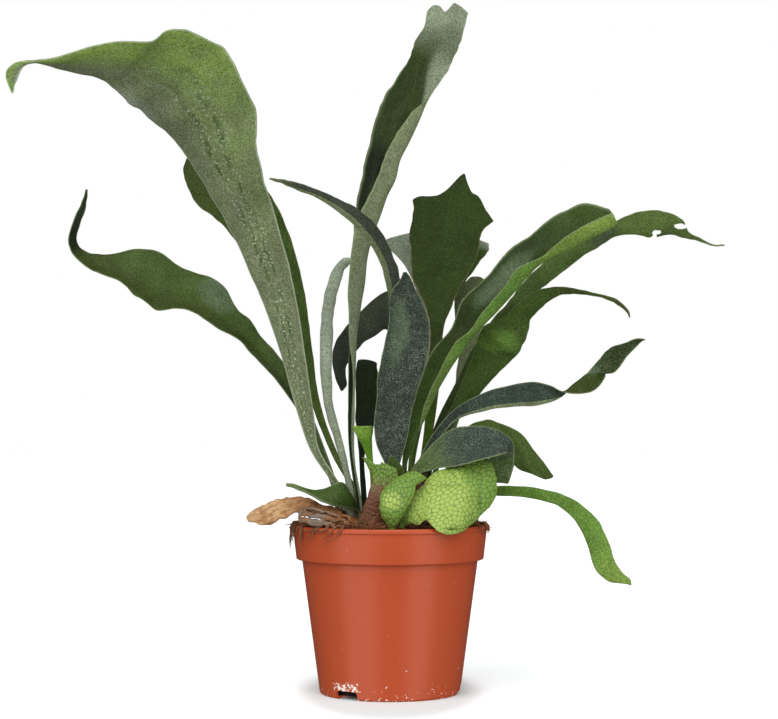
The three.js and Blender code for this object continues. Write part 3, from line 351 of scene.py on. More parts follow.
            (-19, 143, 10, -15.5, 143, 10), (-20, 155, 11, -12, 155, 11), (-21, 167, 12, -8.5, 167, 12),
            (-21, 182, 13, -7.5, 182, 13), (-21, 195, 14, -7.5, 195, 14), (-20, 201, 17, -8, 201, 17),
            (-18.5, 198, 22, -9, 198, 22), (-16.5, 190, 24, -11, 190, 24),
        ),
    },
    "frond_boat_left": {
        "lean": -12, "stalk": 0.1, "cup": 0.12,
        "stations": (
            (-16.5, 102, -11, -18.5, 105, -11), (-19, 109, -12, -20, 113, -12),
            (-25, 111, -20, -24.5, 122, -16), (-32, 112, -24, -29.5, 128, -18),
            (-38.5, 114, -27, -36.5, 125, -21), (-46, 118, -28, -44, 123, -24),
            (-52, 121, -30, -51.5, 124, -27), (-58, 123, -31, -58, 126, -30),
            (-64, 125, -32, -63.5, 127, -32),
        ),
    },
    "sprout_centre": {
        "stalk": 0.4, "cup": 0.1,
        "stations": (
            (-12, 108, -7, -9.5, 108, -7), (-12, 130, -9, -9.5, 130, -9),
            (-14.5, 143, -10, -10.5, 143, -10), (-19.5, 154, -11, -10.5, 154, -11),
            (-23.5, 162, -12, -10.5, 162, -12),
        ),
    },
    "sprout_front": {
        "stalk": 0.3, "cup": 0.05,
        "stations": (
            (2.5, 118, -13, 5.5, 118, -13), (1.5, 126, -14, 6, 125, -14), (-1, 135, -15, 7.5, 130, -15),
            (-1, 140, -16, 8.5, 135, -16), (0.5, 144, -17, 2.5, 143, -17),
        ),
    },
    "shield_upright": {
        "cup": 0.12,
        "lobes": (
            (-1, 4), (-0.66, 4), (-0.33, 0.5), (0, 1), (0.2, 3), (0.5, 2), (0.66, 1), (1, 0),
        ),
        "stations": (
            (-14.5, 92, -24, -7.5, 92, -24), (-16.5, 104, -24, -5.5, 104, -24),
            (-16, 113, -24, -4.5, 113, -24), (-13.5, 119, -24, -1, 119, -24),
            (-11, 127, -23, 2.5, 125, -23), (-11.5, 133, -22, 5.5, 131, -22),
            (-15, 139, -22, 3.5, 136, -22),
        ),
    },
    "shield_cupped": {
        "cup": 0.2,
        "stations": (
            (0.5, 90, -44, 3.5, 90, -44), (-0.5, 99, -45, 3, 99, -45), (-2.5, 103, -47, 5.5, 103, -47),
            (-5.5, 108, -48, 8.5, 108, -48), (-6.5, 113, -48, 11, 113, -48),
            (-5.5, 120, -46, 14, 119, -46), (-1, 126, -43, 15.5, 125, -43), (6, 131, -40, 19, 127, -40),
            (13.5, 134, -38, 22, 130, -38),
        ),
    },
    "shield_kidney": {
        "cup": 0.08,
        "stations": (
            (6, 90, -36, 8.5, 90, -36), (6, 99, -37, 9, 98, -37), (8, 113, -36, 11.5, 102, -42),
            (13.5, 120, -33, 18, 101.5, -48), (19.5, 125, -31, 22, 104, -51),
            (26.5, 133, -30, 26.5, 100, -56), (34.5, 136, -29, 32.5, 95.5, -58),
            (42.5, 140, -29, 41.5, 96, -53), (49, 143, -27, 50, 102, -44),
            (55.5, 144, -26, 57.5, 109, -38), (61, 140.5, -27, 62.5, 115, -34),
            (65, 130, -30, 65, 120, -31),
        ),
    },
    "shield_dry_left": {
        "cup": 0.15,
        "stations": (
            (-23.5, 90, -20, -21.5, 93, -20), (-27.5, 100, -21, -26.5, 103, -21),
            (-30.5, 105, -24, -32, 111, -22), (-38, 106, -27, -40, 113, -23),
            (-47, 108, -29, -48.5, 117, -23), (-55.5, 109, -30, -55.5, 118, -22),
            (-65, 105, -30, -64.5, 118, -20), (-74, 101, -28, -75.5, 114, -18),
            (-81.5, 102, -24, -83.5, 111, -17), (-85.5, 103, -20, -87.5, 107, -17),
        ),
    },
    "shield_dead_scrap": {
        "cup": 0.12,
        "stations": (
            (-20, 92, -45, -18, 93, -44), (-20, 96, -46, -18.5, 99, -44),
            (-22.5, 101, -48, -22, 104.5, -44), (-27, 101, -48, -27.5, 107, -41),
            (-37, 100, -46, -37, 108.5, -36), (-46.5, 101, -42, -46.5, 111, -32),
            (-56, 104, -34, -55.5, 111, -30),
        ),
    },
}

CROWNS = ("crown_left", "crown_centre", "crown_right")


def linear(code):
    """A colour written as six hexadecimal digits, as linear red, green, blue and full cover"""
    parts = [int(code[i:i + 2], 16) / 255 for i in (1, 3, 5)]
    return [c / 12.92 if c <= 0.04045 else ((c + 0.055) / 1.055) ** 2.4 for c in parts] + [1.0]


def colour_property(name, code, description):
    return FloatVectorProperty(
        name=name, description=description, subtype="COLOR", size=4, min=0, max=1, default=linear(code)
    )


def length_property(name, millimetres, description):
    return FloatProperty(name=name, description=description, unit="LENGTH", default=millimetres * MM)


def number_property(name, default, description):
    return FloatProperty(name=name, description=description, default=default)


def count_property(name, default, description):
    return IntProperty(name=name, description=description, default=default, min=0)


class FernSizes(bpy.types.PropertyGroup):
    """Sizes of the leaves, roots and mix that a user may change"""

    stalk_thick: length_property("Stalk thickness", 2.9, "Thickness of a frond at its foot")
    blade_thick: length_property("Blade thickness", 1.1, "Thickness of a frond's blade")
    ripple: length_property("Ripple", 0.7, "How far a blade waves out of its smooth form")
    blade_cell: length_property("Blade cell", 2.4, "Size of a blade's faces before smoothing")
    net_cell: length_property("Net cell", 2.1, "Width of a cell in the shields' net of veins")
    chip_count: count_property("Bark chips", 420, "Chips of bark on the mix")
    scale_count: count_property("Crown scales", 260, "Dry scales on each crown")


class FernColours(bpy.types.PropertyGroup):
    """Colours of the leaves, roots, mix and pot that a user may change"""

    blue_dark: colour_property("Blue dark", "#2e3a33", "Upper face of a blue-green frond")
    deep_green: colour_property("Deep green", "#2a3717", "Shaded green of an upper face")
    leaf_green: colour_property("Leaf green", "#3c4f22", "Green of an upper face")
    fresh_green: colour_property("Fresh green", "#547a22", "Bright green of a young frond")
    strip_green: colour_property("Strip green", "#5a7a34", "Light green of a turned-up side")
    downy_green: colour_property("Downy green", "#586b38", "Green of an underside below its down")
    downy_grey: colour_property("Downy grey", "#646d4e", "Grey-green of a downy underside")
    stalk_pale: colour_property("Pale stalk", "#77806a", "Downy stalk")
    young_down: colour_property("Young down", "#848e7a", "Down of the rolled young frond")
    great_green: colour_property("Great green", "#6c843c", "Green of the great frond's underside")
    dusk_grey: colour_property("Dusk grey", "#383d33", "Grey of the arching frond")
    olive: colour_property("Olive", "#4a5c2b", "Dull green of a drooping frond")
    near_black: colour_property("Near black", "#1a2114", "Green of a frond in the shade")
    moss: colour_property("Moss", "#3a4520", "Brown-green of a shaded frond")
    lush_green: colour_property("Lush green", "#42601a", "Clear green of a young blade")
    sheen: colour_property("Sheen", "#5a6b50", "Grey-blue sheen on an upper face")
    leaf_rim: colour_property("Leaf rim", "#7f8a68", "Pale edge of a frond")
    hair: colour_property("Hair", "#b4bda6", "Fine star-shaped hairs on the fronds")
    shield_lime: colour_property("Shield lime", "#6e8f36", "Green of a fresh shield")
    shield_heart: colour_property("Shield heart", "#9bb253", "Yellow middle of a fresh shield")
    shield_net: colour_property("Shield net", "#33501b", "Veins of a fresh shield")
    shield_brown: colour_property("Shield brown", "#6b4128", "Brown foot of the turning shield")
    dry_tan: colour_property("Dry tan", "#d2ab7d", "Dry shield")
    dry_rust: colour_property("Dry rust", "#96643f", "Woolly middle of the dry shield")
    dry_dark: colour_property("Dry dark", "#4e3020", "Dark folds of the dry shield")
    dead_grey: colour_property("Dead grey", "#85786a", "Crinkled dead shield")
    root_brown: colour_property("Root brown", "#c4854f", "Dry root fibre")
    bark: colour_property("Bark", "#3a261a", "Bark and fibre of the potting mix")
    clay: colour_property("Pot clay", "#b34b27", "Terracotta-coloured plastic")
    chipped: colour_property("Chipped", "#f0e8e0", "Where the plastic is scuffed white")


class FernStage(bpy.types.PropertyGroup):
    """Camera and light for the picture"""

    distance: length_property("Camera distance", VIEW_DISTANCE, "From the pot's axis")
    height: length_property("Camera height", VIEW_HEIGHT, "Above the table")
    lens: number_property("Lens", 87.0, "Focal length in millimetres")
    key: number_property("Key light", 2.25, "Strength of the soft light from the left")
    fill: number_property("Fill light", 0.95, "Strength of the soft light from the right")
    room: number_property("Room light", 0.46, "Strength of the light from all round")
    card: number_property("Cards", 1.2, "Strength of the cards that surfaces reflect")
    floor: number_property("Floor glow", 0.4, "Light that the floor gives out away from the pot")


def sizes():
    return bpy.context.scene.fern_sizes


# Shader nodes

def add(tree, kind, inputs=(), **settings):
    """One node. Inputs are by place or by name: a socket is linked to, anything else is set."""
    node = tree.nodes.new(kind)
    for name, value in settings.items():
        setattr(node, name, value)
    pairs = inputs.items() if isinstance(inputs, dict) else enumerate(inputs)
    for key, value in pairs:
        if isinstance(value, bpy.types.NodeSocket):
            tree.links.new(value, node.inputs[key])
        elif value is not None:
            node.inputs[key].default_value = value
    return node


def maths(tree, operation, a, b=None, c=None):
    return add(tree, "ShaderNodeMath", (a, b, c), operation=operation).outputs[0]


def product(tree, a, b):
    return maths(tree, "MULTIPLY", a, b)


def total(tree, a, b):
    return maths(tree, "ADD", a, b)


def apart(tree, a, b):
    """How far two values are apart"""
    return maths(tree, "ABSOLUTE", maths(tree, "SUBTRACT", a, b))


def reaches_off(tree, value, middle, reach):
    """The square of how many reaches the value is off the middle"""
    reaches = maths(tree, "DIVIDE", maths(tree, "SUBTRACT", value, middle), reach)
    return maths(tree, "POWER", reaches, 2.0)


def blend(tree, share, a, b, mode="MIX"):
    """Colour a where the share is 0, colour b where it is 1"""
    node = add(tree, "ShaderNodeMix", {0: share, 6: a, 7: b}, data_type="RGBA", blend_type=mode)
    return node.outputs[2]


def step(tree, value, low, high, out_low=0.0, out_high=1.0):
    """A soft step of the value from low to high"""
    ends = (value, low, high, out_low, out_high)
    return add(tree, "ShaderNodeMapRange", ends, interpolation_type="SMOOTHSTEP").outputs[0]


def cloud(tree, place, scale, detail=2.0, roughness=0.5):
    """Soft noise from 0 to 1 round 0.5"""
    inputs = {"Vector": place, "Scale": scale, "Detail": detail, "Roughness": roughness}
    return add(tree, "ShaderNodeTexNoise", inputs).outputs[0]


def stretched(tree, place, scale):
    return add(tree, "ShaderNodeVectorMath", (place, scale), operation="MULTIPLY").outputs[0]


def object_place(tree):
    return add(tree, "ShaderNodeTexCoord").outputs["Object"]


def uv_place(tree, layer):
    return add(tree, "ShaderNodeUVMap", uv_map=layer).outputs[0]


def parts_of(tree, place):
    """The x, y and z of a place"""
    return add(tree, "ShaderNodeSeparateXYZ", (place,)).outputs


def new_group(name, ins, outs=("Color", "Roughness", "Height")):
    """A shader group with named inputs, colours or numbers as their defaults are, and named outputs"""
    tree = bpy.data.node_groups.new(name, "ShaderNodeTree")
    for socket, default in ins.items():
        kind = COLOUR if isinstance(default, tuple) else NUMBER
        tree.interface.new_socket(socket, in_out="INPUT", socket_type=kind).default_value = default
    for socket in outs:
        kind = COLOUR if socket == "Color" else NUMBER
        tree.interface.new_socket(socket, in_out="OUTPUT", socket_type=kind)
    entry = tree.nodes.new("NodeGroupInput")
    return tree, {socket.name: socket for socket in entry.outputs if socket.name}


def put_out(tree, **values):
    """Links the values to the group's outputs"""
    leave = tree.nodes.new("NodeGroupOutput")
    for socket, value in values.items():
        tree.links.new(value, leave.inputs[socket])
    return tree


NUMBER = "NodeSocketFloat"
COLOUR = "NodeSocketColor"
GREY = (0.5, 0.5, 0.5, 1.0)
SHADOW = (0.004, 0.004, 0.004, 1)
# The inputs of a frond's skin, with what they are where a coat doesn't say
FROND_INPUTS = {
    "Foot": GREY, "Blade": GREY, "Blade Start": 0.1, "Blade Full": 0.45,
    "Tip": GREY, "Tip Start": 0.85, "Tip Soft": 0.12,
    "Side": GREY, "Side Start": 2.0, "Side Soft": 0.04, "Side End": 2.0, "Side Turn": 0.0,
    # These five inputs place a soft patch of painted light: a painted sheen, highlight or shade
    "Patch": GREY, "Patch Along": -9.0, "Patch Across": 0.5, "Patch Long": 1.0, "Patch Wide": 1.0,
    "Hair": GREY, "Down": 0.15, "Streaks": 0.15, "Lines": 0.0, "Vein": GREY, "Rim": GREY,
    "Rim Width": 0.07, "Rough": 0.45,
}
# The inputs that each word of a coat sets
COAT_SOCKETS = {
    "blade": ("Blade",), "foot": ("Foot",), "open": ("Blade Start", "Blade Full"),
    "tip": ("Tip", "Tip Start", "Tip Soft"),
    "side": ("Side", "Side Start", "Side Soft", "Side End", "Side Turn"),
    "patch": ("Patch", "Patch Along", "Patch Across", "Patch Long", "Patch Wide"),
    "hair": ("Hair",), "down": ("Down",), "streaks": ("Streaks",), "lines": ("Lines",),
    "vein": ("Vein",), "rim": ("Rim",), "rim_width": ("Rim Width",), "rough": ("Rough",),
}


def down_group():
    """Fine pale star hairs: how thickly they stand at a point, and how high"""
    tree, ins = new_group("Star hairs", {"Amount": 0.5}, ("Cover", "Height"))
    place = object_place(tree)
    fine = cloud(tree, place, 1400, 2.0, 0.7)
    drift = step(tree, cloud(tree, place, 160, 3.0, 0.6), 0.32, 0.7, 0.5, 1.3)
    cover = product(tree, product(tree, step(tree, fine, 0.44, 0.68), drift), ins["Amount"])
    return put_out(tree, Cover=maths(tree, "MINIMUM", cover, 1.0), Height=fine)


def frond_group():
    """The skin of a frond: its colours from foot to tip and from side to side, a soft patch of painted
    light (a painted sheen, highlight or shade), grain, fine streaks, two long veins with pale flecks
    beside them, down and a pale rim"""
    tree, ins = new_group("Frond skin", FROND_INPUTS)
    place = object_place(tree)
    blade = uv_place(tree, "blade")
    across = parts_of(tree, blade)[0]
    from_edge, along, _ = parts_of(tree, uv_place(tree, "edge"))
    wobble = maths(tree, "MULTIPLY_ADD", cloud(tree, place, 45, 3.0), 0.3, -0.15)
    opened = step(tree, total(tree, along, wobble), ins["Blade Start"], ins["Blade Full"])
    colour = blend(tree, opened, ins["Foot"], ins["Blade"])
    side_end = total(tree, ins["Side Start"], ins["Side Soft"])
    side = step(tree, apart(tree, ins["Side Turn"], across), ins["Side Start"], side_end)
    fade = step(tree, along, ins["Side End"], total(tree, ins["Side End"], 0.1), 1.0, 0.0)
    colour = blend(tree, product(tree, side, fade), colour, ins["Side"])
    tip_end = total(tree, ins["Tip Start"], ins["Tip Soft"])
    colour = blend(tree, step(tree, along, ins["Tip Start"], tip_end), colour, ins["Tip"])
    nudged = maths(tree, "MULTIPLY_ADD", wobble, 0.15, along)
    off_along = reaches_off(tree, nudged, ins["Patch Along"], ins["Patch Long"])
    off_across = reaches_off(tree, across, ins["Patch Across"], ins["Patch Wide"])
    off = total(tree, off_along, off_across)
    # Painted light: a soft patch of sheen, highlight or shade round its place along and across
    colour = blend(tree, step(tree, off, 0.0, 1.0, 0.75, 0.0), colour, ins["Patch"])
    cast = step(tree, cloud(tree, place, 60, 3.0), 0.3, 0.7, 0.87, 1.13)
    grain = step(tree, cloud(tree, place, 1150, 3.0, 0.7), 0.3, 0.7, 0.5, 1.5)
    tone = add(tree, "ShaderNodeCombineColor", [product(tree, cast, grain)] * 3).outputs[0]
    colour = blend(tree, 1.0, colour, tone, "MULTIPLY")
    streaks = cloud(tree, stretched(tree, blade, (26, 2.2, 1)), 1.0, 4.0, 0.6)
    streak = product(tree, step(tree, streaks, 0.5, 0.7), ins["Streaks"])
    colour = blend(tree, streak, colour, ins["Vein"])
    drift = cloud(tree, stretched(tree, blade, (0, 9, 1)), 1.0, 3.0)
    swung = total(tree, across, maths(tree, "MULTIPLY_ADD", drift, 0.16, -0.08))
    aside = apart(tree, apart(tree, swung, 0.5), 0.1)
    low_part = product(tree, step(tree, along, 0.4, 0.62, 1.0, 0.12), ins["Lines"])
    line = product(tree, step(tree, aside, 0.008, 0.05, 1.0, 0.0), low_part)
    broken = step(tree, cloud(tree, place, 120, 2.0), 0.38, 0.6)
    colour = blend(tree, product(tree, line, broken), colour, ins["Vein"])
    flecks = step(tree, cloud(tree, place, 760, 1.0), 0.6, 0.7)
    beside = product(tree, step(tree, aside, 0.02, 0.16, 0.75, 0.0), low_part)
    colour = blend(tree, product(tree, flecks, beside), colour, ins["Hair"])
    down = group("Star hairs", down_group)
    hairs = add(tree, "ShaderNodeGroup", {"Amount": ins["Down"]}, node_tree=down).outputs
    colour = blend(tree, hairs["Cover"], colour, ins["Hair"])
    rim = step(tree, from_edge, 0.01, ins["Rim Width"], 0.6, 0.0)
    return put_out(
        tree, Color=blend(tree, rim, colour, ins["Rim"]),
        Roughness=maths(tree, "MULTIPLY_ADD", hairs["Cover"], 0.5, ins["Rough"]),
        Height=maths(tree, "MULTIPLY_ADD", streaks, 0.8, hairs["Height"]),
    )


def shield_group():
    """The skin of a shield: its yellow heart, its net of veins, which also paints shade into the creases,
    and its dry parts, which the piece's own attributes place"""
    tree, ins = new_group("Shield skin", {"Skin": GREY, "Heart": GREY, "Net": GREY, "Dry": GREY})
    place = object_place(tree)
    net, heart, dry = (
        add(tree, "ShaderNodeAttribute", attribute_name=name).outputs["Fac"]
        for name in ("net", "heart", "dry")
    )
    mottle = cloud(tree, place, 260, 4.0, 0.65)
    warmed = total(tree, heart, maths(tree, "MULTIPLY_ADD", mottle, 1.0, -0.5))
    colour = blend(tree, step(tree, warmed, 0.1, 0.9), ins["Skin"], ins["Heart"])
    worn = step(tree, cloud(tree, place, 90, 2.0), 0.25, 0.7, 0.6, 1.0)
    colour = blend(tree, product(tree, net, worn), colour, ins["Net"])
    fibre = cloud(tree, place, 700, 2.0, 0.7)
    drying = total(tree, product(tree, dry, 1.6), maths(tree, "MULTIPLY_ADD", fibre, 2.2, -1.45))
    return put_out(
        tree, Color=blend(tree, step(tree, drying, 0.25, 0.85), colour, ins["Dry"]),
        Roughness=maths(tree, "MULTIPLY_ADD", mottle, 0.3, 0.32),
        Height=total(tree, fibre, product(tree, net, -1.5)),
    )


def fibre_group():
    """Dry plant matter: streaky, mottled and grained, and shaded near the ground behind the notches"""
    tree, ins = new_group("Dry fibre", {"Pale": GREY, "Dark": GREY, "Grain": 400.0}, ("Color", "Height"))
    place = object_place(tree)
    coarse = cloud(tree, place, 90, 3.0, 0.65)
    grain = cloud(tree, place, ins["Grain"], 3.0)
    mix = total(tree, product(tree, coarse, 0.6), product(tree, grain, 0.4))
    colour = blend(tree, step(tree, mix, 0.38, 0.62), ins["Dark"], ins["Pale"])
    ground = step(tree, parts_of(tree, place)[2], 6 * MM, 14 * MM, 0.95, 0.0)
    return put_out(tree, Color=blend(tree, ground, colour, SHADOW), Height=grain)


def group(name, build):
    """The shader group of that name, built the first time"""
    return bpy.data.node_groups.get(name) or build()


def once(build, name, *parts):
    """The material of that name, built the first time"""
    return bpy.data.materials.get(name) or build(name, *parts)


def finish_material(mat, colour, roughness, height=None, bump=0.3, **constants):
    """Feeds the material's shader from sockets or values. Constants are set on the shader's sockets."""
    tree = mat.node_tree
    shader = tree.nodes["Principled BSDF"]
    for socket, value in (("Base Color", colour), ("Roughness", roughness)):
        if isinstance(value, bpy.types.NodeSocket):
            tree.links.new(value, shader.inputs[socket])
        else:
            shader.inputs[socket].default_value = value
    for socket, value in constants.items():
        shader.inputs[socket.replace("_", " ")].default_value = value
    if height is not None:
        bumps = {"Strength": bump, "Distance": MM, "Height": height}
        tree.links.new(add(tree, "ShaderNodeBump", bumps).outputs[0], shader.inputs["Normal"])
    return mat


def new_material(name):
    mat = bpy.data.materials.new(name)
    mat.use_nodes = True
    return mat


def skinned(name, tree, values, bump, roughness=None, **constants):
    """A material fed by a group with its inputs set. A word stands for one of the colour settings."""
    mat = new_material(name)
    node = add(mat.node_tree, "ShaderNodeGroup", node_tree=tree)
    for socket, value in values.items():
        node.inputs[socket].default_value = colour_of(value) if isinstance(value, str) else value
    outs = node.outputs
    rough = outs["Roughness"] if roughness is None else roughness
    return finish_material(mat, outs["Color"], rough, outs["Height"], bump, **constants)


def colour_of(name):
    return tuple(getattr(bpy.context.scene.fern_colours, name))


def frond_material(name, coat):
    """One face of a frond. The coat names its colours and says how downy and streaked it is."""
    values = dict.fromkeys(("Foot", "Tip", "Side", "Patch"), coat["blade"])
    values.update(Hair="strip_green", Vein="deep_green", Rim="leaf_rim")
    for word, sockets in COAT_SOCKETS.items():
        given = coat.get(word, ())
        values.update(zip(sockets, given if isinstance(given, tuple) else (given,)))
    skin = group("Frond skin", frond_group)
    return skinned(name, skin, values, coat.get("bump", 0.3), Specular_IOR_Level=coat.get("gloss", 0.05))


def rim_material(name):
    """The pale edge between a frond's two faces"""
    mat = new_material(name)
    tree = mat.node_tree
    grain = cloud(tree, object_place(tree), 500, 2.0)
    colour = blend(tree, step(tree, grain, 0.3, 0.7), colour_of("downy_green"), colour_of("leaf_rim"))
    return finish_material(mat, colour, 0.7, grain, 0.2, Specular_IOR_Level=0.2)


# Mesh helpers

def smooth(low, high, value):
    share = np.clip((value - low) / (high - low), 0, 1)
    return share * share * (3 - 2 * share)


def unit(rows):
    return rows / np.maximum(np.linalg.norm(rows, axis=-1, keepdims=True), 1e-12)


def linked(name, data):
    """An object in the scene"""
    made = bpy.data.objects.new(name, data)
    bpy.context.scene.collection.objects.link(made)
    return made


def finish_piece(name, mesh, materials, node):
    """Links the mesh as a piece that rides on the body and stands for its node"""
    piece = linked(name, mesh)
    for mat in materials:
        mesh.materials.append(mat)
    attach(piece, "root")
    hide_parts(node)
    return piece


def mesh_from(bm, name, sharp_angle=None):
    """The bmesh as a smooth-shaded mesh, with edges sharper than the angle kept sharp"""
    for face in bm.faces:
        face.smooth = True
    if sharp_angle is not None:
        for edge in bm.edges:
            edge.smooth = not edge.is_manifold or edge.calc_face_angle(0.0) < math.radians(sharp_angle)
    mesh = bpy.data.meshes.new(name)
    bm.to_mesh(mesh)
    bm.free()
    return mesh


def applied(piece):
    """The piece's mesh with its modifiers done"""
    graph = bpy.context.evaluated_depsgraph_get()
    return bpy.data.meshes.new_from_object(piece.evaluated_get(graph))


def spot_at(away, angle, height):
    """A place at a distance and an angle round the pot's axis"""
    return Vector((away * math.cos(angle), away * math.sin(angle), height))


def turned(angle, axis):
    return Matrix.Rotation(angle, 3, axis)


# Leaves

def seen(points):
    """Points of x, z and depth as seen in the plane of the pot's axis, as places in millimetres"""
    x, z, depth = np.asarray(points, float).T
    reach = (VIEW_DISTANCE + depth) / VIEW_DISTANCE
    return np.stack([x * reach, depth, VIEW_HEIGHT + (z - VIEW_HEIGHT) * reach], axis=1)


def rail(points, t):
    """Places at shares t along a smooth line through the points: a centripetal Catmull-Rom curve"""
    last = len(points) - 1
    line = np.vstack([2 * points[0] - points[1], points, 2 * points[-1] - points[-2]])
    index = np.minimum(np.floor(t * last).astype(int), last - 1)
    share = (t * last - index)[:, None]
    p0, p1, p2, p3 = (line[index + k] for k in range(4))
    g0, g1, g2 = (
        np.maximum(np.sqrt(np.linalg.norm(b - a, axis=1, keepdims=True)), 1e-4)
        for a, b in ((p0, p1), (p1, p2), (p2, p3))
    )
    leave = ((p1 - p0) / g0 - (p2 - p0) / (g0 + g1) + (p2 - p1) / g1) * g1
    reach = ((p2 - p1) / g1 - (p3 - p1) / (g1 + g2) + (p3 - p2) / g2) * g1
    square, cube = share ** 2, share ** 3
    return (
        p1 + leave * share + (-3 * p1 + 3 * p2 - 2 * leave - reach) * square
        + (2 * p1 - 2 * p2 + leave + reach) * cube
    )


class Blade:
    """A leaf's middle surface, from its stations"""

    STEP = 0.01

    def __init__(self, leaf):
        self.leaf = leaf
        count = len(leaf["stations"])
        stations = np.array(leaf["stations"], float).reshape(count, -1, 3)
        lean = leaf.get("lean", 0) * (np.arange(count) / (count - 1)) ** 1.5
        stations[:, :, 2] += lean[:, None]
        lines = [seen(stations[:, k]) for k in range(stations.shape[1])]
        self.left, self.right = lines[0], lines[-1]
        self.fold = lines[1] if len(lines) == 3 else None

    def middle(self, t):
        return (rail(self.left, t) + rail(self.right, t)) / 2

    def at(self, u, t):
        """Places in millimetres at shares u from -1 to 1 across and t from 0 to 1 along; their outward
        direction; the distance to the nearer edge; the length from the foot; the direction across; the
        width"""
        a, c = rail(self.left, t), rail(self.right, t)
        after, before = np.minimum(1, t + self.STEP), np.maximum(0, t - self.STEP)
        along = unit(self.middle(after) - self.middle(before))
        side = c - a
        width = np.linalg.norm(side, axis=1)
        out = unit(np.cross(unit(side), along))
        if self.fold is None:
            b = self.middle(t) + out * (width * self.leaf.get("cup", 0))[:, None]
        else:
            b = rail(self.fold, t)
        u_ = u[:, None]
        place = a * u_ * (u_ - 1) / 2 + b * (1 - u_ * u_) + c * u_ * (u_ + 1) / 2
        if "lobes" in self.leaf:
            shares, reaches = zip(*self.leaf["lobes"])
            place = place + along * (np.interp(u, shares, reaches) * smooth(0.86, 1, t))[:, None]
        fine = np.linspace(0, 1, 400)
        steps = np.linalg.norm(np.diff(self.middle(fine), axis=0), axis=1)
        length = np.interp(t, fine, np.concatenate([[0], np.cumsum(steps)]))
        edge = (1 - np.abs(u)) * width / 2
        return place, out, edge, length, unit(side), width

    def length(self):
        fine = np.linspace(0, 1, 200)
        return np.linalg.norm(np.diff(self.middle(fine), axis=0), axis=1).sum()

    def widest(self):
        fine = np.linspace(0, 1, 200)
        return np.linalg.norm(rail(self.right, fine) - rail(self.left, fine), axis=1).max()


def wave(places, size, seed):
    """Soft noise from about -1 to 1 at places in millimetres, with bumps of that size"""
    shift = Vector((seed * 17.3, seed * 5.1, seed * 9.7))
    return np.array([noise.noise(Vector(p) / size + shift) for p in places]) * 1.6


def leaf_grid(name, columns, rows):
    """A flat grid of faces as a mesh, and each corner's shares u (-1 to 1) and t (0 to 1)"""
    bm = bmesh.new()
    bm.loops.layers.uv.new("blade")
    bmesh.ops.create_grid(bm, x_segments=columns, y_segments=rows, size=1.0, calc_uvs=True)
    mesh = mesh_from(bm, name)
    mesh.uv_layers.new(name="edge")
    place = np.empty(len(mesh.vertices) * 3)
    mesh.vertices.foreach_get("co", place)
    place = place.reshape(-1, 3)
    return mesh, place[:, 0], (place[:, 1] + 1) / 2


def set_places(mesh, places):
    """Moves the corners to places in millimetres"""
    mesh.vertices.foreach_set("co", (places * MM).ravel())


def set_maps(mesh, u, t, length, edge):
    """The two UV maps: share across with length, and distance from the edge with share along"""
    corners = np.empty(len(mesh.loops), int)
    mesh.loops.foreach_get("vertex_index", corners)
    for layer, pair in (("blade", ((u + 1) / 2, length / 100)), ("edge", (edge / 10, t))):
        mesh.uv_layers[layer].data.foreach_set("uv", np.stack(pair, axis=1)[corners].ravel())


def set_attribute(mesh, name, values):
    layer = mesh.attributes.new(name, "FLOAT", "POINT")
    layer.data.foreach_set("value", np.asarray(values, np.float32))


def thicken(piece, shares, thickness, materials_apart=False, levels=0, gone=None):
    """Gives the sheet two faces and a rim, as thick as each corner's share says, and rounds it. The faces
    that are gone are taken out first."""
    weights = piece.vertex_groups.new(name="thickness")
    for i, share in enumerate(shares):
        weights.add([i], float(share), "REPLACE")
    if gone:
        cut_faces(piece, gone)
    solid = piece.modifiers.new("Thickness", "SOLIDIFY")
    solid.thickness = thickness
    solid.offset = 0
    solid.vertex_group = "thickness"
    solid.thickness_vertex_group = 0
    if materials_apart:
        solid.material_offset = 1
        solid.material_offset_rim = 2
    if levels:
        rounding = piece.modifiers.new("Rounding", "SUBSURF")
        rounding.levels = rounding.render_levels = levels


def cut_faces(piece, gone):
    """Takes out of the sheet each face of which the test says that it is gone"""
    bm = bmesh.new()
    bm.from_mesh(piece.data)
    maps = [bm.loops.layers.uv[name] for name in ("blade", "edge")]
    bmesh.ops.delete(bm, geom=[face for face in bm.faces if gone(face, *maps)], context="FACES")
    bm.to_mesh(piece.data)
    bm.free()


# Colours of each frond's faces, by the names in the colour settings. "open" is where the blade's colour
# starts and is full, as shares along. A tip is a colour, the share along where it starts and how softly.
# A side is a colour, the share across where it starts, how softly, the share along where it ends, and 1
# where it is counted from the right. A patch is painted light, a painted sheen, highlight or shade: a
# colour, its place along and across, and its reach along and across.
TOP = {"blade": "deep_green", "foot": "leaf_green", "down": 0.12}
UNDER = {
    "blade": "downy_grey", "foot": "stalk_pale", "down": 0.3, "hair": "hair", "streaks": 0.2,
    "vein": "downy_green",
}
STRIP = {
    "blade": "strip_green", "foot": "downy_green", "tip": ("great_green", 0.62, 0.2), "down": 0.12,
    "hair": "downy_grey", "streaks": 0.1,
}
MOSSY = {"blade": "moss", "tip": ("olive", 0.5, 0.1), "down": 0.2, "hair": "downy_grey"}
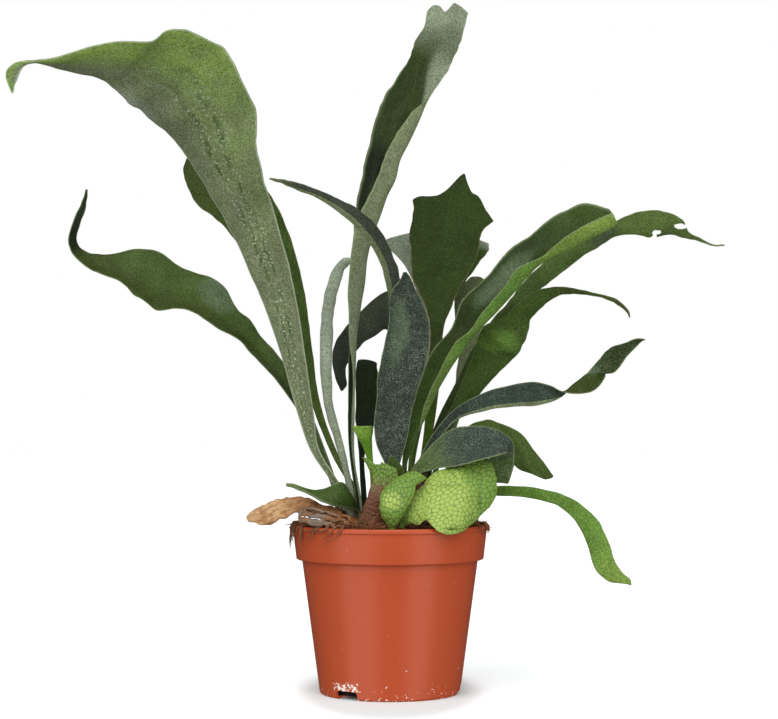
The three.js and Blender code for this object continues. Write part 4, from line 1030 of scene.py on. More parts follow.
# The far faces that differ from the downy one: the material's name and its coat
UPPER = ("frond_upper_face", TOP)
FAR_COATS = {
    "frond_great_left": UPPER, "frond_forked_back": UPPER, "frond_back_right": UPPER,
    "frond_spoon": UPPER, "sprout_centre": UPPER, "sprout_front": UPPER,
    "frond_long_right": ("frond_strip_face", STRIP), "frond_twisted_right": ("frond_mossy_face", MOSSY),
}
# Every patch below is painted light: on the great frond a pale sheen by its lower edge; on the low, dark
# front, long and twisted fronds a grey-blue sheen; on the folded frond a highlight along its fold; and on
# the torn frond shade by the long frond's tip
COATS = {
    "frond_great_left": {
        "blade": "great_green", "foot": "downy_grey", "open": (0.25, 0.6),
        "tip": ("fresh_green", 0.93, 0.03), "down": 0.24, "hair": "hair", "streaks": 0.3, "lines": 1.0,
        "vein": "leaf_green", "rim": "hair", "rim_width": 0.13,
        "side": ("downy_grey", 0.3, 0.5, 2.0, 1.0), "patch": ("young_down", 0.55, 0.0, 0.14, 0.16),
    },
    "frond_behind_great": {
        "blade": "leaf_green", "foot": "olive", "tip": ("moss", 0.6, 0.15), "rim": "shield_brown",
    },
    "frond_low_left": {
        "blade": "moss", "foot": "deep_green", "tip": ("near_black", 0.74, 0.06), "down": 0.12,
        "gloss": 0.12, "rough": 0.35, "patch": ("sheen", 0.42, 0.8, 0.06, 0.45),
        "side": ("leaf_green", 0.2, 0.4, 0.6),
    },
    "frond_young_rolled": {
        "blade": "young_down", "foot": "stalk_pale", "down": 0.3, "hair": "hair", "vein": "downy_green",
    },
    "frond_tall": {
        "blade": "deep_green", "foot": "near_black", "open": (0.5, 0.8),
        "tip": ("stalk_pale", 0.84, 0.12), "side": ("stalk_pale", 0.46, 0.2, 0.82),
        "down": 0.06, "streaks": 0.08, "vein": "stalk_pale",
    },
    "frond_arching": {
        "blade": "downy_grey", "foot": "deep_green", "down": 0.12, "hair": "young_down",
        "side": ("dusk_grey", 0.28),
    },
    "frond_dark_front": {
        "blade": "blue_dark", "down": 0.36, "hair": "hair", "bump": 0.6,
        "patch": ("sheen", 0.62, 0.3, 0.2, 0.3),
    },
    "frond_broad_upright": {
        "blade": "deep_green", "foot": "lush_green", "open": (0.12, 0.34), "down": 0.12,
        "rim": "shield_brown",
    },
    "frond_forked_back": {
        "blade": "young_down", "foot": "downy_green", "down": 0.1, "side": ("leaf_green", 0.6),
    },
    "frond_long_right": {
        "blade": "deep_green", "foot": "leaf_green", "tip": ("leaf_green", 0.68, 0.2), "down": 0.1,
        "gloss": 0.12, "rough": 0.4, "patch": ("sheen", 0.57, 0.2, 0.13, 0.18),
    },
    "frond_torn_right": {
        "blade": "leaf_green", "foot": "deep_green", "tip": ("olive", 0.58, 0.06), "down": 0.3,
        "hair": "downy_grey", "patch": ("dusk_grey", 0.57, 0.7, 0.05, 0.6),
    },
    "frond_folded_right": {
        "blade": "leaf_green", "foot": "deep_green", "open": (0.1, 0.28), "tip": ("moss", 0.6, 0.1),
        "down": 0.05, "gloss": 0.05, "rough": 0.4, "patch": ("strip_green", 0.4, 0.45, 0.05, 0.6),
    },
    "frond_twisted_right": {
        "blade": "blue_dark", "foot": "blue_dark", "tip": ("deep_green", 0.6, 0.04), "down": 0.16,
        "hair": "hair", "bump": 0.6, "side": ("downy_grey", 0.8, 0.04, 0.33),
        "patch": ("sheen", 0.72, 0.1, 0.04, 0.5),
    },
    "frond_spoon": {
        "blade": "blue_dark", "foot": "downy_green", "tip": ("leaf_green", 0.76), "down": 0.24,
        "hair": "hair", "bump": 0.6, "rim_width": 0.12,
    },
    "frond_drooping_right": {"blade": "olive", "foot": "leaf_green", "down": 0.06},
    "frond_low_right": {
        "blade": "strip_green", "foot": "strip_green", "tip": ("great_green", 0.6, 0.3),
        "down": 0.2, "hair": "shield_lime",
    },
    "frond_back_right": {"blade": "downy_grey", "foot": "downy_green", "down": 0.12},
    "frond_back_left": {"blade": "dusk_grey", "foot": "leaf_green", "down": 0.08, "hair": "downy_grey"},
    "frond_back_centre": {"blade": "near_black", "tip": ("blue_dark", 0.7), "down": 0.05},
    "frond_boat_left": {
        "blade": "leaf_green", "foot": "deep_green", "tip": ("downy_green", 0.7, 0.2), "down": 0.04,
        "gloss": 0.15, "rough": 0.3, "rim_width": 0.2,
    },
    "sprout_centre": {
        "blade": "fresh_green", "foot": "strip_green", "tip": ("shield_lime", 0.7), "down": 0.03,
    },
    "sprout_front": {"blade": "leaf_green", "foot": "strip_green", "down": 0.03},
}
# How high the margins wave, as a share of the width, where it isn't the usual
WAVES = {
    "frond_great_left": 0.015, "frond_tall": 0.008, "frond_arching": 0.02, "frond_young_rolled": 0.0,
    "frond_low_left": 0.06, "frond_twisted_right": 0.02, "frond_dark_front": 0.02,
    "frond_broad_upright": 0.03, "frond_boat_left": 0.02, "frond_spoon": 0.02,
}
# Local bends of a blade: share along, share across, how far it slants, how high in millimetres, and its
# reach along and across
BENDS = {
    "frond_folded_right": ((0.4, 0.0, -0.035, 4.5, 0.022, 3.0),),
    "frond_low_left": ((0.43, 0.6, 0.0, 3.5, 0.035, 0.7), (0.57, -0.5, 0.0, -3.5, 0.03, 0.8)),
    "frond_great_left": ((0.55, -0.8, 0.0, 5.0, 0.09, 0.35), (0.78, 0.5, 0.0, 4.0, 0.05, 0.8)),
    "frond_long_right": ((0.5, -0.5, 0.0, 3.0, 0.05, 0.5), (0.75, -0.5, 0.0, -2.5, 0.05, 0.5)),
    "frond_broad_upright": ((0.85, 0.3, 0.1, 3.0, 0.08, 0.5), (0.6, -0.4, 0.0, -2.5, 0.12, 0.6)),
    "frond_drooping_right": ((0.7, 0.0, 0.1, 2.5, 0.05, 2.0),),
}

# The holes in the torn frond's end: x, z, half width and half height as seen, in millimetres
TORN = ((178, 284, 3.7, 1.7), (164, 280.5, 2.8, 1.1), (162, 278, 1.3, 2.6))


def frond_cell(name):
    """Size of a frond's faces in millimetres: finer where its outline is lobed or torn"""
    fine = "lobes" in LEAVES[name] or name in ("frond_torn_right", "frond_folded_right")
    return sizes().blade_cell / MM * (0.6 if fine else 1)


def frond_piece(name):
    """A frond: its blade waved and rimmed, its stalk thick, its two faces coated apart"""
    leaf, coat = LEAVES[name], COATS[name]
    stalk = leaf.get("stalk", 0.2)
    blade = Blade(leaf)
    cell = frond_cell(name)
    columns = max(8, 2 * round(blade.widest() / cell / 2))
    rows = max(14, round(blade.length() / cell / 1.15))
    mesh, u, t = leaf_grid(name, columns, rows)
    place, out, edge, length, across, width = blade.at(u, t)
    seed = sum(map(ord, name)) % 97
    open_blade = smooth(0.6 * stalk, 1.6 * stalk, t)
    drift = wave(place, 30, seed)
    swing = np.sin(length / WAVE_LENGTH * math.tau + seed + 1.9 * np.sign(u) + 1.6 * drift)
    margin = WAVES.get(name, 0.04) * np.minimum(40, width) * np.abs(u) ** 1.7 * (1 - smooth(0.9, 1, t))
    ripple = sizes().ripple / MM * wave(place, 15, seed + 1) * smooth(0, 12, width)
    bend = sum(
        high * np.exp(-((t - at - slant * u) / long) ** 2 - ((u - side) / wide) ** 2)
        for at, side, slant, high, long, wide in BENDS.get(name, ())
    )
    place = place + out * (open_blade * (margin * swing + ripple) + bend)[:, None]
    nibble = 0.5 * open_blade * smooth(0.55, 1.0, np.abs(u)) * wave(place, 5, seed + 3)
    place = place + across * nibble[:, None]
    set_places(mesh, place)
    set_maps(mesh, u, t, length, edge)
    blade_thick = min(1.0, leaf.get("thick", sizes().blade_thick / MM) * MM / sizes().stalk_thick)
    share = 1 + (blade_thick - 1) * smooth(0.4 * stalk, stalk, t)
    share = share * (0.5 + 0.5 * smooth(0.0, 1.6, edge + 0.8 * (1 - open_blade)))
    share = share * (1 - 0.35 * smooth(0.93, 1.0, t))
    near = frond_material(name, coat)
    far = once(frond_material, *FAR_COATS.get(name, ("frond_downy_face", UNDER)))
    piece = finish_piece("skin_" + name, mesh, (near, far, once(rim_material, "frond_rim")), name)
    torn = torn_out if name == "frond_torn_right" else None
    thicken(piece, share, sizes().stalk_thick, materials_apart=True, levels=1, gone=torn)


def torn_out(face, *_):
    """Whether the face lies in a hole of the torn frond, as seen"""
    middle = face.calc_center_median() / MM
    nearer = VIEW_DISTANCE / (VIEW_DISTANCE + middle.y)
    seen_x, seen_z = middle.x * nearer, VIEW_HEIGHT + (middle.z - VIEW_HEIGHT) * nearer
    return any(((seen_x - x) / wide) ** 2 + ((seen_z - z) / high) ** 2 < 1 for x, z, wide, high in TORN)


# Shields

# The net of veins: how many spots are tried for its cells, how much longer than wide a cell is, and how
# many places are measured at a time
NET_TRIALS = 9000
NET_STRETCH = 1.7
NET_BATCH = 4000


def net_distance(offsets, radial):
    """Lengths of the offsets, with those along the radial direction counted shorter"""
    direction = unit(radial)
    along = (offsets * direction).sum(axis=-1)
    square = (offsets ** 2).sum(axis=-1)
    return np.sqrt(np.maximum(square - along ** 2, 0) + (along / NET_STRETCH) ** 2)


def net_cells(blade, foot, width, seed):
    """Middles of the cells in a shield's net of veins, evenly spread by a seeded draw"""
    trial = np.random.default_rng(seed).random((NET_TRIALS, 2))
    places = blade.at(trial[:, 0] * 2 - 1, trial[:, 1])[0]
    kept = places[:1]
    for place in places[1:]:
        if net_distance(kept - place, place - foot).min() > width:
            kept = np.vstack([kept, place])
    return kept


def net_gap(places, foot, cells):
    """How much further each place is from the second nearest cell than from the nearest: 0 on a vein"""
    gaps = []
    for start in range(0, len(places), NET_BATCH):
        part = places[start:start + NET_BATCH]
        radial = (part - foot)[:, None, :]
        near = np.partition(net_distance(cells[None] - part[:, None], radial), 1, axis=1)
        gaps.append(near[:, 1] - near[:, 0])
    return np.concatenate(gaps)


def shield_material(name, heart):
    colours = {"Skin": "shield_lime", "Heart": heart, "Net": "shield_net", "Dry": "shield_brown"}
    return skinned(
        name, group("Shield skin", shield_group), colours, 0.25,
        Specular_IOR_Level=0.4, Subsurface_Weight=0.12, Subsurface_Scale=2 * MM,
    )


# The green shields: the heart's colour, its x, z and the distances where it starts and stops fading; up
# to what share along the foot is dry; how far the skin waves; how large the net's cells are against the
# setting; and creases: x, z, half width, half height and depth, in millimetres. A crease is sunk and also
# painted in the net's dark green: painted shade.
GREEN_SHIELDS = {
    "shield_kidney": {
        "heart": "shield_heart", "heart_at": (29, 117, 8, 30), "dry_foot": 0.0, "slot": "shield_green",
        "wave": 0.7, "cell": 1.0,
        "creases": ((36.5, 102, 5, 0.8, 1.5), (53, 120, 1.5, 12, 0.6), (36, 127, 10, 1.2, 0.6)),
    },
    "shield_cupped": {
        "heart": "shield_heart", "heart_at": (1, 118, 1, 9), "dry_foot": 0.0, "slot": "shield_green",
        "wave": 0.5, "cell": 0.9,
    },
    "shield_upright": {
        "heart": "shield_lime", "heart_at": (-6, 130, 2, 10), "dry_foot": 0.78, "slot": "shield_turning",
        "wave": 0.6, "cell": 0.65,
    },
}
# Slits that part the dead scrap into ribbons: share across, half width, and where they start and end
SLITS = (
    (0.2, 0.06, 0.3, 0.62), (0.38, 0.06, 0.52, 0.97), (0.55, 0.06, 0.22, 0.5), (0.72, 0.06, 0.45, 0.9),
    (0.85, 0.05, 0.15, 0.4),
)
DRY_SHIELDS = {
    "shield_dry_left": {"tip": "dry_tan", "slot": "shield_dry", "crinkle": 1.3},
    "shield_dead_scrap": {"tip": "dead_grey", "slot": "shield_dead", "crinkle": 2.0},
}


def shield_sheet(name, cell):
    """A shield's fine grid on its blade: mesh, the blade, the shares and what the blade says of them"""
    blade = Blade(LEAVES[name])
    columns = max(10, round(blade.widest() / cell))
    rows = max(20, round(blade.length() / cell))
    mesh, u, t = leaf_grid(name, columns, rows)
    return mesh, blade, u, t, blade.at(u, t)


def green_shield(name):
    """A living shield, its net of veins sunk between raised cells, its creases sunk and darkened with
    painted shade in the net's green, its rim turned thin
    """
    coat = GREEN_SHIELDS[name]
    mesh, blade, u, t, (place, out, edge, _, across, _) = shield_sheet(name, GREEN_CELL)
    foot = blade.middle(np.array([0.0]))[0]
    cells = net_cells(blade, foot, sizes().net_cell / MM * coat["cell"], len(name))
    gap = net_gap(place, foot, cells)
    pillow = 0.3 * coat["cell"] * smooth(0.0, 1.4, gap) * smooth(0.0, 1.5, edge)
    crease = sum(
        deep * np.exp(-((place[:, 0] - x) / wide) ** 2 - ((place[:, 2] - z) / high) ** 2)
        for x, z, wide, high, deep in coat.get("creases", ())
    )
    place = place + out * (pillow + coat["wave"] * wave(place, 14, len(name)) - crease)[:, None]
    ragged = 0.5 * smooth(0.75, 1.0, np.abs(u)) * wave(place, 3.2, len(name) + 2)
    place = place + across * ragged[:, None]
    set_places(mesh, place)
    net = (1 - smooth(0.1, 0.6, gap)) * smooth(0.2, 1.2, edge)
    # The creases are added to the net, so the net's dark green paints shade into them
    set_attribute(mesh, "net", np.clip(net + 0.5 * crease, 0, 1))
    heart_x, heart_z, heart_full, heart_end = coat["heart_at"]
    from_heart = np.hypot(place[:, 0] - heart_x, place[:, 2] - heart_z)
    set_attribute(mesh, "heart", 1 - smooth(heart_full, heart_end, from_heart))
    dry_foot = coat["dry_foot"]
    fading = 1 - smooth(0.35 * dry_foot, 1.5 * dry_foot, t) if dry_foot else 0 * t
    set_attribute(mesh, "dry", fading + 0.5 * (1 - smooth(0.2, 0.9, edge)))
    mat = shield_material(name, coat["heart"])
    piece = finish_piece("skin_" + name, mesh, (mat,), name)
    thicken(piece, 0.55 + 0.45 * smooth(0, 2, edge), SHIELD_THICK * MM)


def dry_shield(name):
    """A dead shield, crinkled and ragged"""
    coat = DRY_SHIELDS[name]
    mesh, _, u, t, (place, out, edge, length, across, _) = shield_sheet(name, DRY_CELL)
    seed = len(name)
    crinkle = coat["crinkle"] * (wave(place, 9, seed) + 0.5 * wave(place, 3.6, seed + 1))
    fine = 0.14 * wave(place, 1.2, seed + 2)
    place = place + out * (crinkle * smooth(0, 4, edge + 2) + fine)[:, None]
    ragged = smooth(0.7, 1.0, np.abs(u)) * np.sign(u)
    place = place + across * (ragged * 1.1 * wave(place, 4, seed + 3))[:, None]
    set_places(mesh, place)
    set_maps(mesh, u, t, length, edge)
    colours = {"Tip": coat["tip"], "Blade": "dry_rust", "Dark": "dry_dark"}
    skin = group("Dry leaf", dry_leaf_group)
    mat = skinned(name, skin, colours, 0.9, roughness=0.85, Specular_IOR_Level=0.1)
    piece = finish_piece("skin_" + name, mesh, (mat,), name)
    if name == "shield_dead_scrap":
        cut_faces(piece, slit_out)
    thicken(piece, 0.6 + 0.4 * smooth(0, 2, edge), SHIELD_THICK * MM)


def slit_out(face, blade, edge):
    """Whether the face lies in a slit of the dead scrap"""
    across = sum(corner[blade].uv.x for corner in face.loops) / len(face.loops)
    along = sum(corner[edge].uv.y for corner in face.loops) / len(face.loops)
    return any(abs(across - share) < half and start < along < end for share, half, start, end in SLITS)


def dry_leaf_group():
    """The skin of a dead shield: fibres along it, one colour towards its foot and one towards its tip"""
    tree, ins = new_group("Dry leaf", {"Tip": GREY, "Blade": GREY, "Dark": GREY}, ("Color", "Height"))
    from_edge, along, _ = parts_of(tree, uv_place(tree, "edge"))
    patches = cloud(tree, object_place(tree), 110, 5.0, 0.7)
    shifted = total(tree, along, maths(tree, "MULTIPLY_ADD", patches, 0.8, -0.4))
    colour = blend(tree, step(tree, shifted, 0.42, 0.72), ins["Blade"], ins["Tip"])
    fibres = cloud(tree, stretched(tree, uv_place(tree, "blade"), (14, 9, 1)), 1.0, 5.0, 0.75)
    colour = blend(tree, step(tree, fibres, 0.49, 0.65, 0.0, 0.8), colour, ins["Dark"])
    colour = blend(tree, step(tree, patches, 0.46, 0.62, 0.0, 0.7), colour, ins["Blade"])
    colour = blend(tree, step(tree, from_edge, 0.0, 0.12, 0.5, 0.0), colour, ins["Dark"])
    return put_out(tree, Color=colour, Height=maths(tree, "MULTIPLY_ADD", fibres, 1.5, patches))


def fibre_material(name, pale, dark, grain, roughness, bump=0.5):
    values = {"Pale": pale, "Dark": dark, "Grain": grain}
    skin = group("Dry fibre", fibre_group)
    return skinned(name, skin, values, bump, roughness, Specular_IOR_Level=0.2)


# Pot

def rounded(corners, steps=5):
    """Profile points from corners of radius, height and how far each is rounded"""
    points = []
    for k, (radius, height, bend) in enumerate(corners):
        here = Vector((radius, 0, height))
        if bend == 0:
            points.append(here)
            continue
        before, after = (Vector((r, 0, z)) for r, z, _ in (corners[k - 1], corners[k + 1]))
        enter = here + (before - here).normalized() * bend
        leave = here + (after - here).normalized() * bend
        for s in range(steps + 1):
            share = s / steps
            points.append(enter * (1 - share) ** 2 + here * 2 * share * (1 - share) + leave * share ** 2)
    return points


def lathe(points, steps):
    """A closed bmesh from a profile that starts and ends on the axis"""
    bm = bmesh.new()
    verts = [bm.verts.new(p) for p in points]
    edges = [bm.edges.new(pair) for pair in zip(verts, verts[1:])]
    around = {"axis": (0, 0, 1), "cent": (0, 0, 0), "angle": math.tau, "use_merge": True}
    bmesh.ops.spin(bm, geom=verts + edges, steps=steps, **around)
    bmesh.ops.remove_doubles(bm, verts=bm.verts[:], dist=1e-6)
    bmesh.ops.recalc_face_normals(bm, faces=bm.faces[:])
    return bm


def pot_profile():
    """The outline of half the pot, from the middle of its underside round its lip to its floor"""
    band_foot = POT_HEIGHT - BAND_HEIGHT
    slope = (BODY_TOP_RADIUS - BASE_RADIUS) / band_foot
    inner_lip = RIM_RADIUS - WALL - LIP
    return rounded([
        (0, 0.8 * MM, 0), (BASE_RADIUS - 5 * MM, 0.8 * MM, 0.6 * MM),
        (BASE_RADIUS - 4 * MM, 0, 0.4 * MM), (BASE_RADIUS, 0, 1.6 * MM),
        (BODY_TOP_RADIUS, band_foot - 0.2 * MM, 0.9 * MM),
        (BAND_FOOT_RADIUS - 0.2 * MM, band_foot, 0.9 * MM),
        (RIM_RADIUS - 1.0 * MM, POT_HEIGHT - 3.8 * MM, 0.3 * MM),
        (RIM_RADIUS - 0.9 * MM, POT_HEIGHT - 3.1 * MM, 0.3 * MM),
        (RIM_RADIUS, POT_HEIGHT - 2.9 * MM, 0.6 * MM), (RIM_RADIUS, POT_HEIGHT, 1.1 * MM),
        (inner_lip, POT_HEIGHT, 0.5 * MM), (inner_lip, POT_HEIGHT - 1.2 * MM, 0.3 * MM),
        (BAND_FOOT_RADIUS - WALL, band_foot + WALL + MM, 0.6 * MM),
        (BODY_TOP_RADIUS - WALL, band_foot - MM, 0.6 * MM),
        (BASE_RADIUS - WALL + slope * WALL, WALL, 0.8 * MM), (0, WALL, 0),
    ])


def notch_cutters():
    """Round-topped blocks where the pot's foot is open"""
    bm = bmesh.new()
    for angle in NOTCH_ANGLES:
        made = bmesh.ops.create_cube(bm, size=1.0)["verts"]
        bmesh.ops.scale(bm, verts=made, vec=(NOTCH_DEPTH, NOTCH_WIDTH, 2 * NOTCH_HEIGHT))
        tops = [
            e for e in {e for v in made for e in v.link_edges}
            if all(v.co.z > 0 for v in e.verts) and abs(e.verts[0].co.x - e.verts[1].co.x) > MM
        ]
        cut = bmesh.ops.bevel(
            bm, geom=tops, offset=NOTCH_ROUND, segments=4, profile=0.5, affect="EDGES", material=-1
        )
        block = [v for v in set(made) | set(cut["verts"]) if v.is_valid]
        bmesh.ops.translate(bm, verts=block, vec=(BASE_RADIUS - 2 * MM, 0, 0))
        bmesh.ops.rotate(bm, verts=block, matrix=turned(math.radians(angle), "Z"))
    return bm


def pot_material():
    """Smooth plastic, uneven in tone, with pale specks, and chips round the front notch and the foot"""
    mat = new_material("pot_plastic")
    tree = mat.node_tree
    place = object_place(tree)
    height = parts_of(tree, place)[2]
    tone = step(tree, cloud(tree, stretched(tree, place, (1, 1, 0.35)), 14, 3.0), 0.3, 0.7)
    deep = [c * 0.95 for c in colour_of("clay")[:3]] + [1]
    colour = blend(tree, tone, deep, colour_of("clay"))
    specks = step(tree, cloud(tree, place, 300, 1.0), 0.765, 0.785)
    low = step(tree, height, 0.004, 0.03, 1.0, 0.1)
    notch = spot_at(BASE_RADIUS, math.radians(NOTCH_ANGLES[0]), 13 * MM)
    flat = stretched(tree, place, (1, 1, 2))
    away = add(tree, "ShaderNodeVectorMath", (flat, notch), operation="DISTANCE").outputs["Value"]
    above = step(tree, height, 4.6 * MM, 5.4 * MM)
    near_notch = product(tree, step(tree, away, 5 * MM, 18 * MM, 0.22, 0.0), above)
    near_foot = step(tree, height, 0.0, 15 * MM, 0.12, 0.0)
    flakes = cloud(tree, place, 400, 4.0, 0.7)
    loosened = total(tree, flakes, maths(tree, "MAXIMUM", near_notch, near_foot))
    wear = maths(tree, "MAXIMUM", product(tree, specks, low), step(tree, loosened, 0.72, 0.76))
    colour = blend(tree, wear, colour, colour_of("chipped"))
    rough = step(tree, cloud(tree, place, 60, 3.0), 0.2, 0.8, 0.27, 0.31)
    grain = cloud(tree, place, 900, 2.0)
    return finish_material(mat, colour, rough, grain, 0.05, Specular_IOR_Level=0.42)


def clay_pot():
    """The pot: a lathed shell with a rolled lip, open at three notches round its foot"""
    shell = linked("pot_shell", mesh_from(lathe(pot_profile(), POT_STEPS), "pot_shell"))
    cutter = linked("notches", mesh_from(notch_cutters(), "notches"))
    cut = shell.modifiers.new("Notches", "BOOLEAN")
    cut.object = cutter
    cut.operation = "DIFFERENCE"
    cut.solver = "EXACT"
    whole = applied(shell)
    bpy.data.objects.remove(shell)
    bpy.data.objects.remove(cutter)
    bm = bmesh.new()
    bm.from_mesh(whole)
    bm.normal_update()
    mesh = mesh_from(bm, "pot", 40)
    bpy.data.meshes.remove(whole)
    finish_piece("clay_pot", mesh, (pot_material(),), "pot")


# Potting mix, crowns and roots


def mix_surface(radius, top, edge_radius, edge_top):
    """Height of the mix at a distance from the middle"""
    share = min(1.0, radius / edge_radius)
    return edge_top + (top - edge_top) * (1 - share * share)


def potting_mix():
    """A rough mound of bark and fibre: a lumpy ground with chips and crumbs lying in it"""
    low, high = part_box("potting_mix")
    radius = (high.x - low.x) / 2 - 0.2 * MM
    edge_top = high.z - MIX_DROP
    foot = BASE_RADIUS - WALL - 2 * MM
    profile = [Vector((0, 0, low.z))]
    for k in range(7):
        profile.append(Vector((foot + (radius - foot) * k / 6, 0, low.z + (edge_top - low.z) * k / 6)))
    for k in range(1, 25):
        away = radius * (1 - k / 24)
        profile.append(Vector((away, 0, mix_surface(away, high.z, radius, edge_top))))
    bm = lathe(profile, MIX_STEPS)
    for vert in bm.verts:
        if vert.co.z > edge_top - 1 * MM:
            lump = noise.noise(vert.co * 110) * 1.6 + noise.noise(vert.co * 300) * 0.8
            vert.co.z += (lump - 1.2) * MM
    rng = random.Random(7)
    for _ in range(sizes().chip_count):
        away = radius * math.sqrt(rng.random()) * 0.97
        angle = rng.uniform(0, math.tau)
        made = bmesh.ops.create_icosphere(bm, subdivisions=1, radius=1.0)["verts"]
        for vert in made:
            vert.co *= rng.uniform(0.75, 1.2)
        long = rng.uniform(1.2, 4.2) * MM
        shape = (long, long * rng.uniform(0.35, 0.7), rng.uniform(0.5, 1.2) * MM)
        bmesh.ops.scale(bm, verts=made, vec=shape)
        heading, roll, pitch = rng.uniform(0, math.tau), rng.gauss(0, 0.35), rng.gauss(0, 0.35)
        lie = turned(heading, "Z") @ turned(roll, "X") @ turned(pitch, "Y")
        bmesh.ops.rotate(bm, verts=made, matrix=lie)
        height = mix_surface(away, high.z, radius, edge_top) - 0.9 * MM
        bmesh.ops.translate(bm, verts=made, vec=spot_at(away, angle, height))
        reach = max(v.co.xy.length for v in made)
        if reach > radius - 0.3 * MM:
            pull = (radius - 0.3 * MM) / reach
            for vert in made:
                vert.co.xy = vert.co.xy * pull
    mesh = mesh_from(bm, "potting_mix", 35)
    mat = fibre_material("potting_mix", "shield_brown", "bark", 600.0, 0.95, 0.6)
    finish_piece("bark_mix", mesh, (mat,), "potting_mix")


# A crown's half width by its height, both as shares
CROWN_SHAPE = ((0.0, 0.78), (0.12, 0.95), (0.35, 1.0), (0.6, 0.97), (0.8, 0.85), (0.93, 0.6), (1.0, 0.3))
GOLDEN_ANGLE = 137.5


def scaly_crown(name):
    """A crown: the blunt end of the creeping stem, covered in narrow papery scales that point up"""
    low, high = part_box(name)
    middle = (low + high) / 2
    half = (high - low) / 2
    tall = high.z - low.z
    heights, widths = zip(*CROWN_SHAPE)
    levels = np.arange(17) / 16
    points = [Vector((0, 0, 0))]
    points += [Vector((float(np.interp(level, heights, widths)) * 0.96, 0, level)) for level in levels]
    bm = lathe(points + [Vector((0, 0, 1))], 36)
    shape = Matrix.Translation((middle.x, middle.y, low.z)) @ Matrix.Diagonal((half.x, half.y, tall, 1))
    bmesh.ops.transform(bm, matrix=shape, verts=bm.verts[:])
    rng = random.Random(len(name))
    scales = sizes().scale_count
    for k in range(scales):
        level = 0.12 + 0.86 * ((k + 0.5) / scales)
        angle = k * math.radians(GOLDEN_ANGLE) + rng.uniform(-0.2, 0.2)
        width = float(np.interp(level, heights, widths))
        made = bmesh.ops.create_grid(bm, x_segments=2, y_segments=4, size=1.0)["verts"]
        long, wide = rng.uniform(3.2, 6.0) * MM, rng.uniform(0.7, 1.2) * MM
        curl = rng.uniform(0.1, 0.5)
        for vert in made:
            up, flat = (vert.co.y + 1) / 2, vert.co.x
            taper = (1 - up) ** 0.7 + 0.06
            bulge = 0.3 * wide * flat * flat - curl * long * up * up
            vert.co = Vector((flat * wide * taper, bulge, up * long))
        bmesh.ops.solidify(bm, geom=list({f for v in made for f in v.link_faces}), thickness=0.25 * MM)
        every = list({w for v in made for f in v.link_faces for w in f.verts})
        lean = turned(0.25 + 0.75 * smooth(0.6, 1.0, level), "X")
        bmesh.ops.rotate(bm, verts=every, matrix=turned(angle + math.pi / 2, "Z") @ lean)
        foot = Vector((
            middle.x + half.x * width * 0.94 * math.cos(angle),
            middle.y + half.y * width * 0.94 * math.sin(angle),
            low.z + tall * level - 1.5 * MM,
        ))
        bmesh.ops.translate(bm, verts=every, vec=foot)
    mat = once(fibre_material, "crown_scales", "dry_tan", "dry_dark", 500.0, 0.8)
    finish_piece("scaly_" + name, mesh_from(bm, name, 50), (mat,), name)


def strand_mesh(name, routes):
    """Tapered strands as one closed mesh. A route is a list of (place, radius)."""
    curve = bpy.data.curves.new(name, "CURVE")
    curve.dimensions = "3D"
    curve.bevel_depth = 1.0
    curve.bevel_resolution = 0
    curve.use_fill_caps = True
    for route in routes:
        line = curve.splines.new("POLY")
        line.points.add(len(route) - 1)
        for point, (place, radius) in zip(line.points, route):
            point.co = (*place, 1)
            point.radius = radius
    made = linked(name, curve)
    mesh = applied(made)
    bpy.data.objects.remove(made)
    bpy.data.curves.remove(curve)
    bm = bmesh.new()
    bm.from_mesh(mesh)
    bmesh.ops.recalc_face_normals(bm, faces=bm.faces[:])
    bpy.data.meshes.remove(mesh)
    return mesh_from(bm, name)


def hanging_route(rng, angle, drop, radius):
    """A fibre from the mix up over the rim and down the outside of the band"""
    over = RIM_RADIUS + 0.5 * MM
    drift = rng.gauss(-0.1, 0.09)
    lift = rng.uniform(0.3, 2.0) * MM
    line = [
        (RIM_RADIUS - 8 * MM, POT_HEIGHT - rng.uniform(1.5, 4) * MM),
        (RIM_RADIUS - 4 * MM, POT_HEIGHT + lift),
        (RIM_RADIUS - 1 * MM, POT_HEIGHT + 0.6 * MM + lift * 0.6), (over, POT_HEIGHT - 0.8 * MM),
    ]
    for k in range(1, 8):
        share = k / 7
        line.append((over + rng.uniform(0.1, 1.2) * MM * share, POT_HEIGHT - 1 * MM - drop * share))
    route = []
    for k, (away, height) in enumerate(line):
        share = k / (len(line) - 1)
        turn = angle + drift * share * share + rng.gauss(0, 0.008)
        route.append((spot_at(away, turn, height), radius * (1 - 0.8 * share * share)))
    return route


def tangle_route(rng, middle, spread, radius):
    """A short curly fibre lying in the wool round a spot"""
    heading = Vector((rng.gauss(0, 1), rng.gauss(0, 1), rng.gauss(0, 0.25))).normalized()
    spot = middle + Vector([rng.gauss(0, s) for s in spread])
    route = []
    for k in range(9):
        bend = Vector((rng.gauss(0, 0.4), rng.gauss(0, 0.4), rng.gauss(0, 0.2)))
        heading = (heading + bend).normalized()
        spot = spot + heading * 1.2 * MM
        route.append((spot.copy(), radius * (1 - 0.8 * abs(2 * k / 8 - 1))))
    return route


# The fibres by side: how many hang over the rim, lie in the wool and fringe the side, each between two
# angles in degrees, and the longest drop in millimetres. The thin fibres of the fringe come last.
ROOTS = {
    "left": {
        "angles": (-172, -116), "drop": 13, "count": 26, "wool": 300,
        "wool_angles": (-172, -98), "fringe": 44, "fringe_angles": (-186, -160),
    },
    "right": {
        "angles": (-27, -9), "drop": 4, "count": 10, "wool": 90,
        "wool_angles": (-30, -6), "fringe": 8, "fringe_angles": (-16, 2),
    },
}


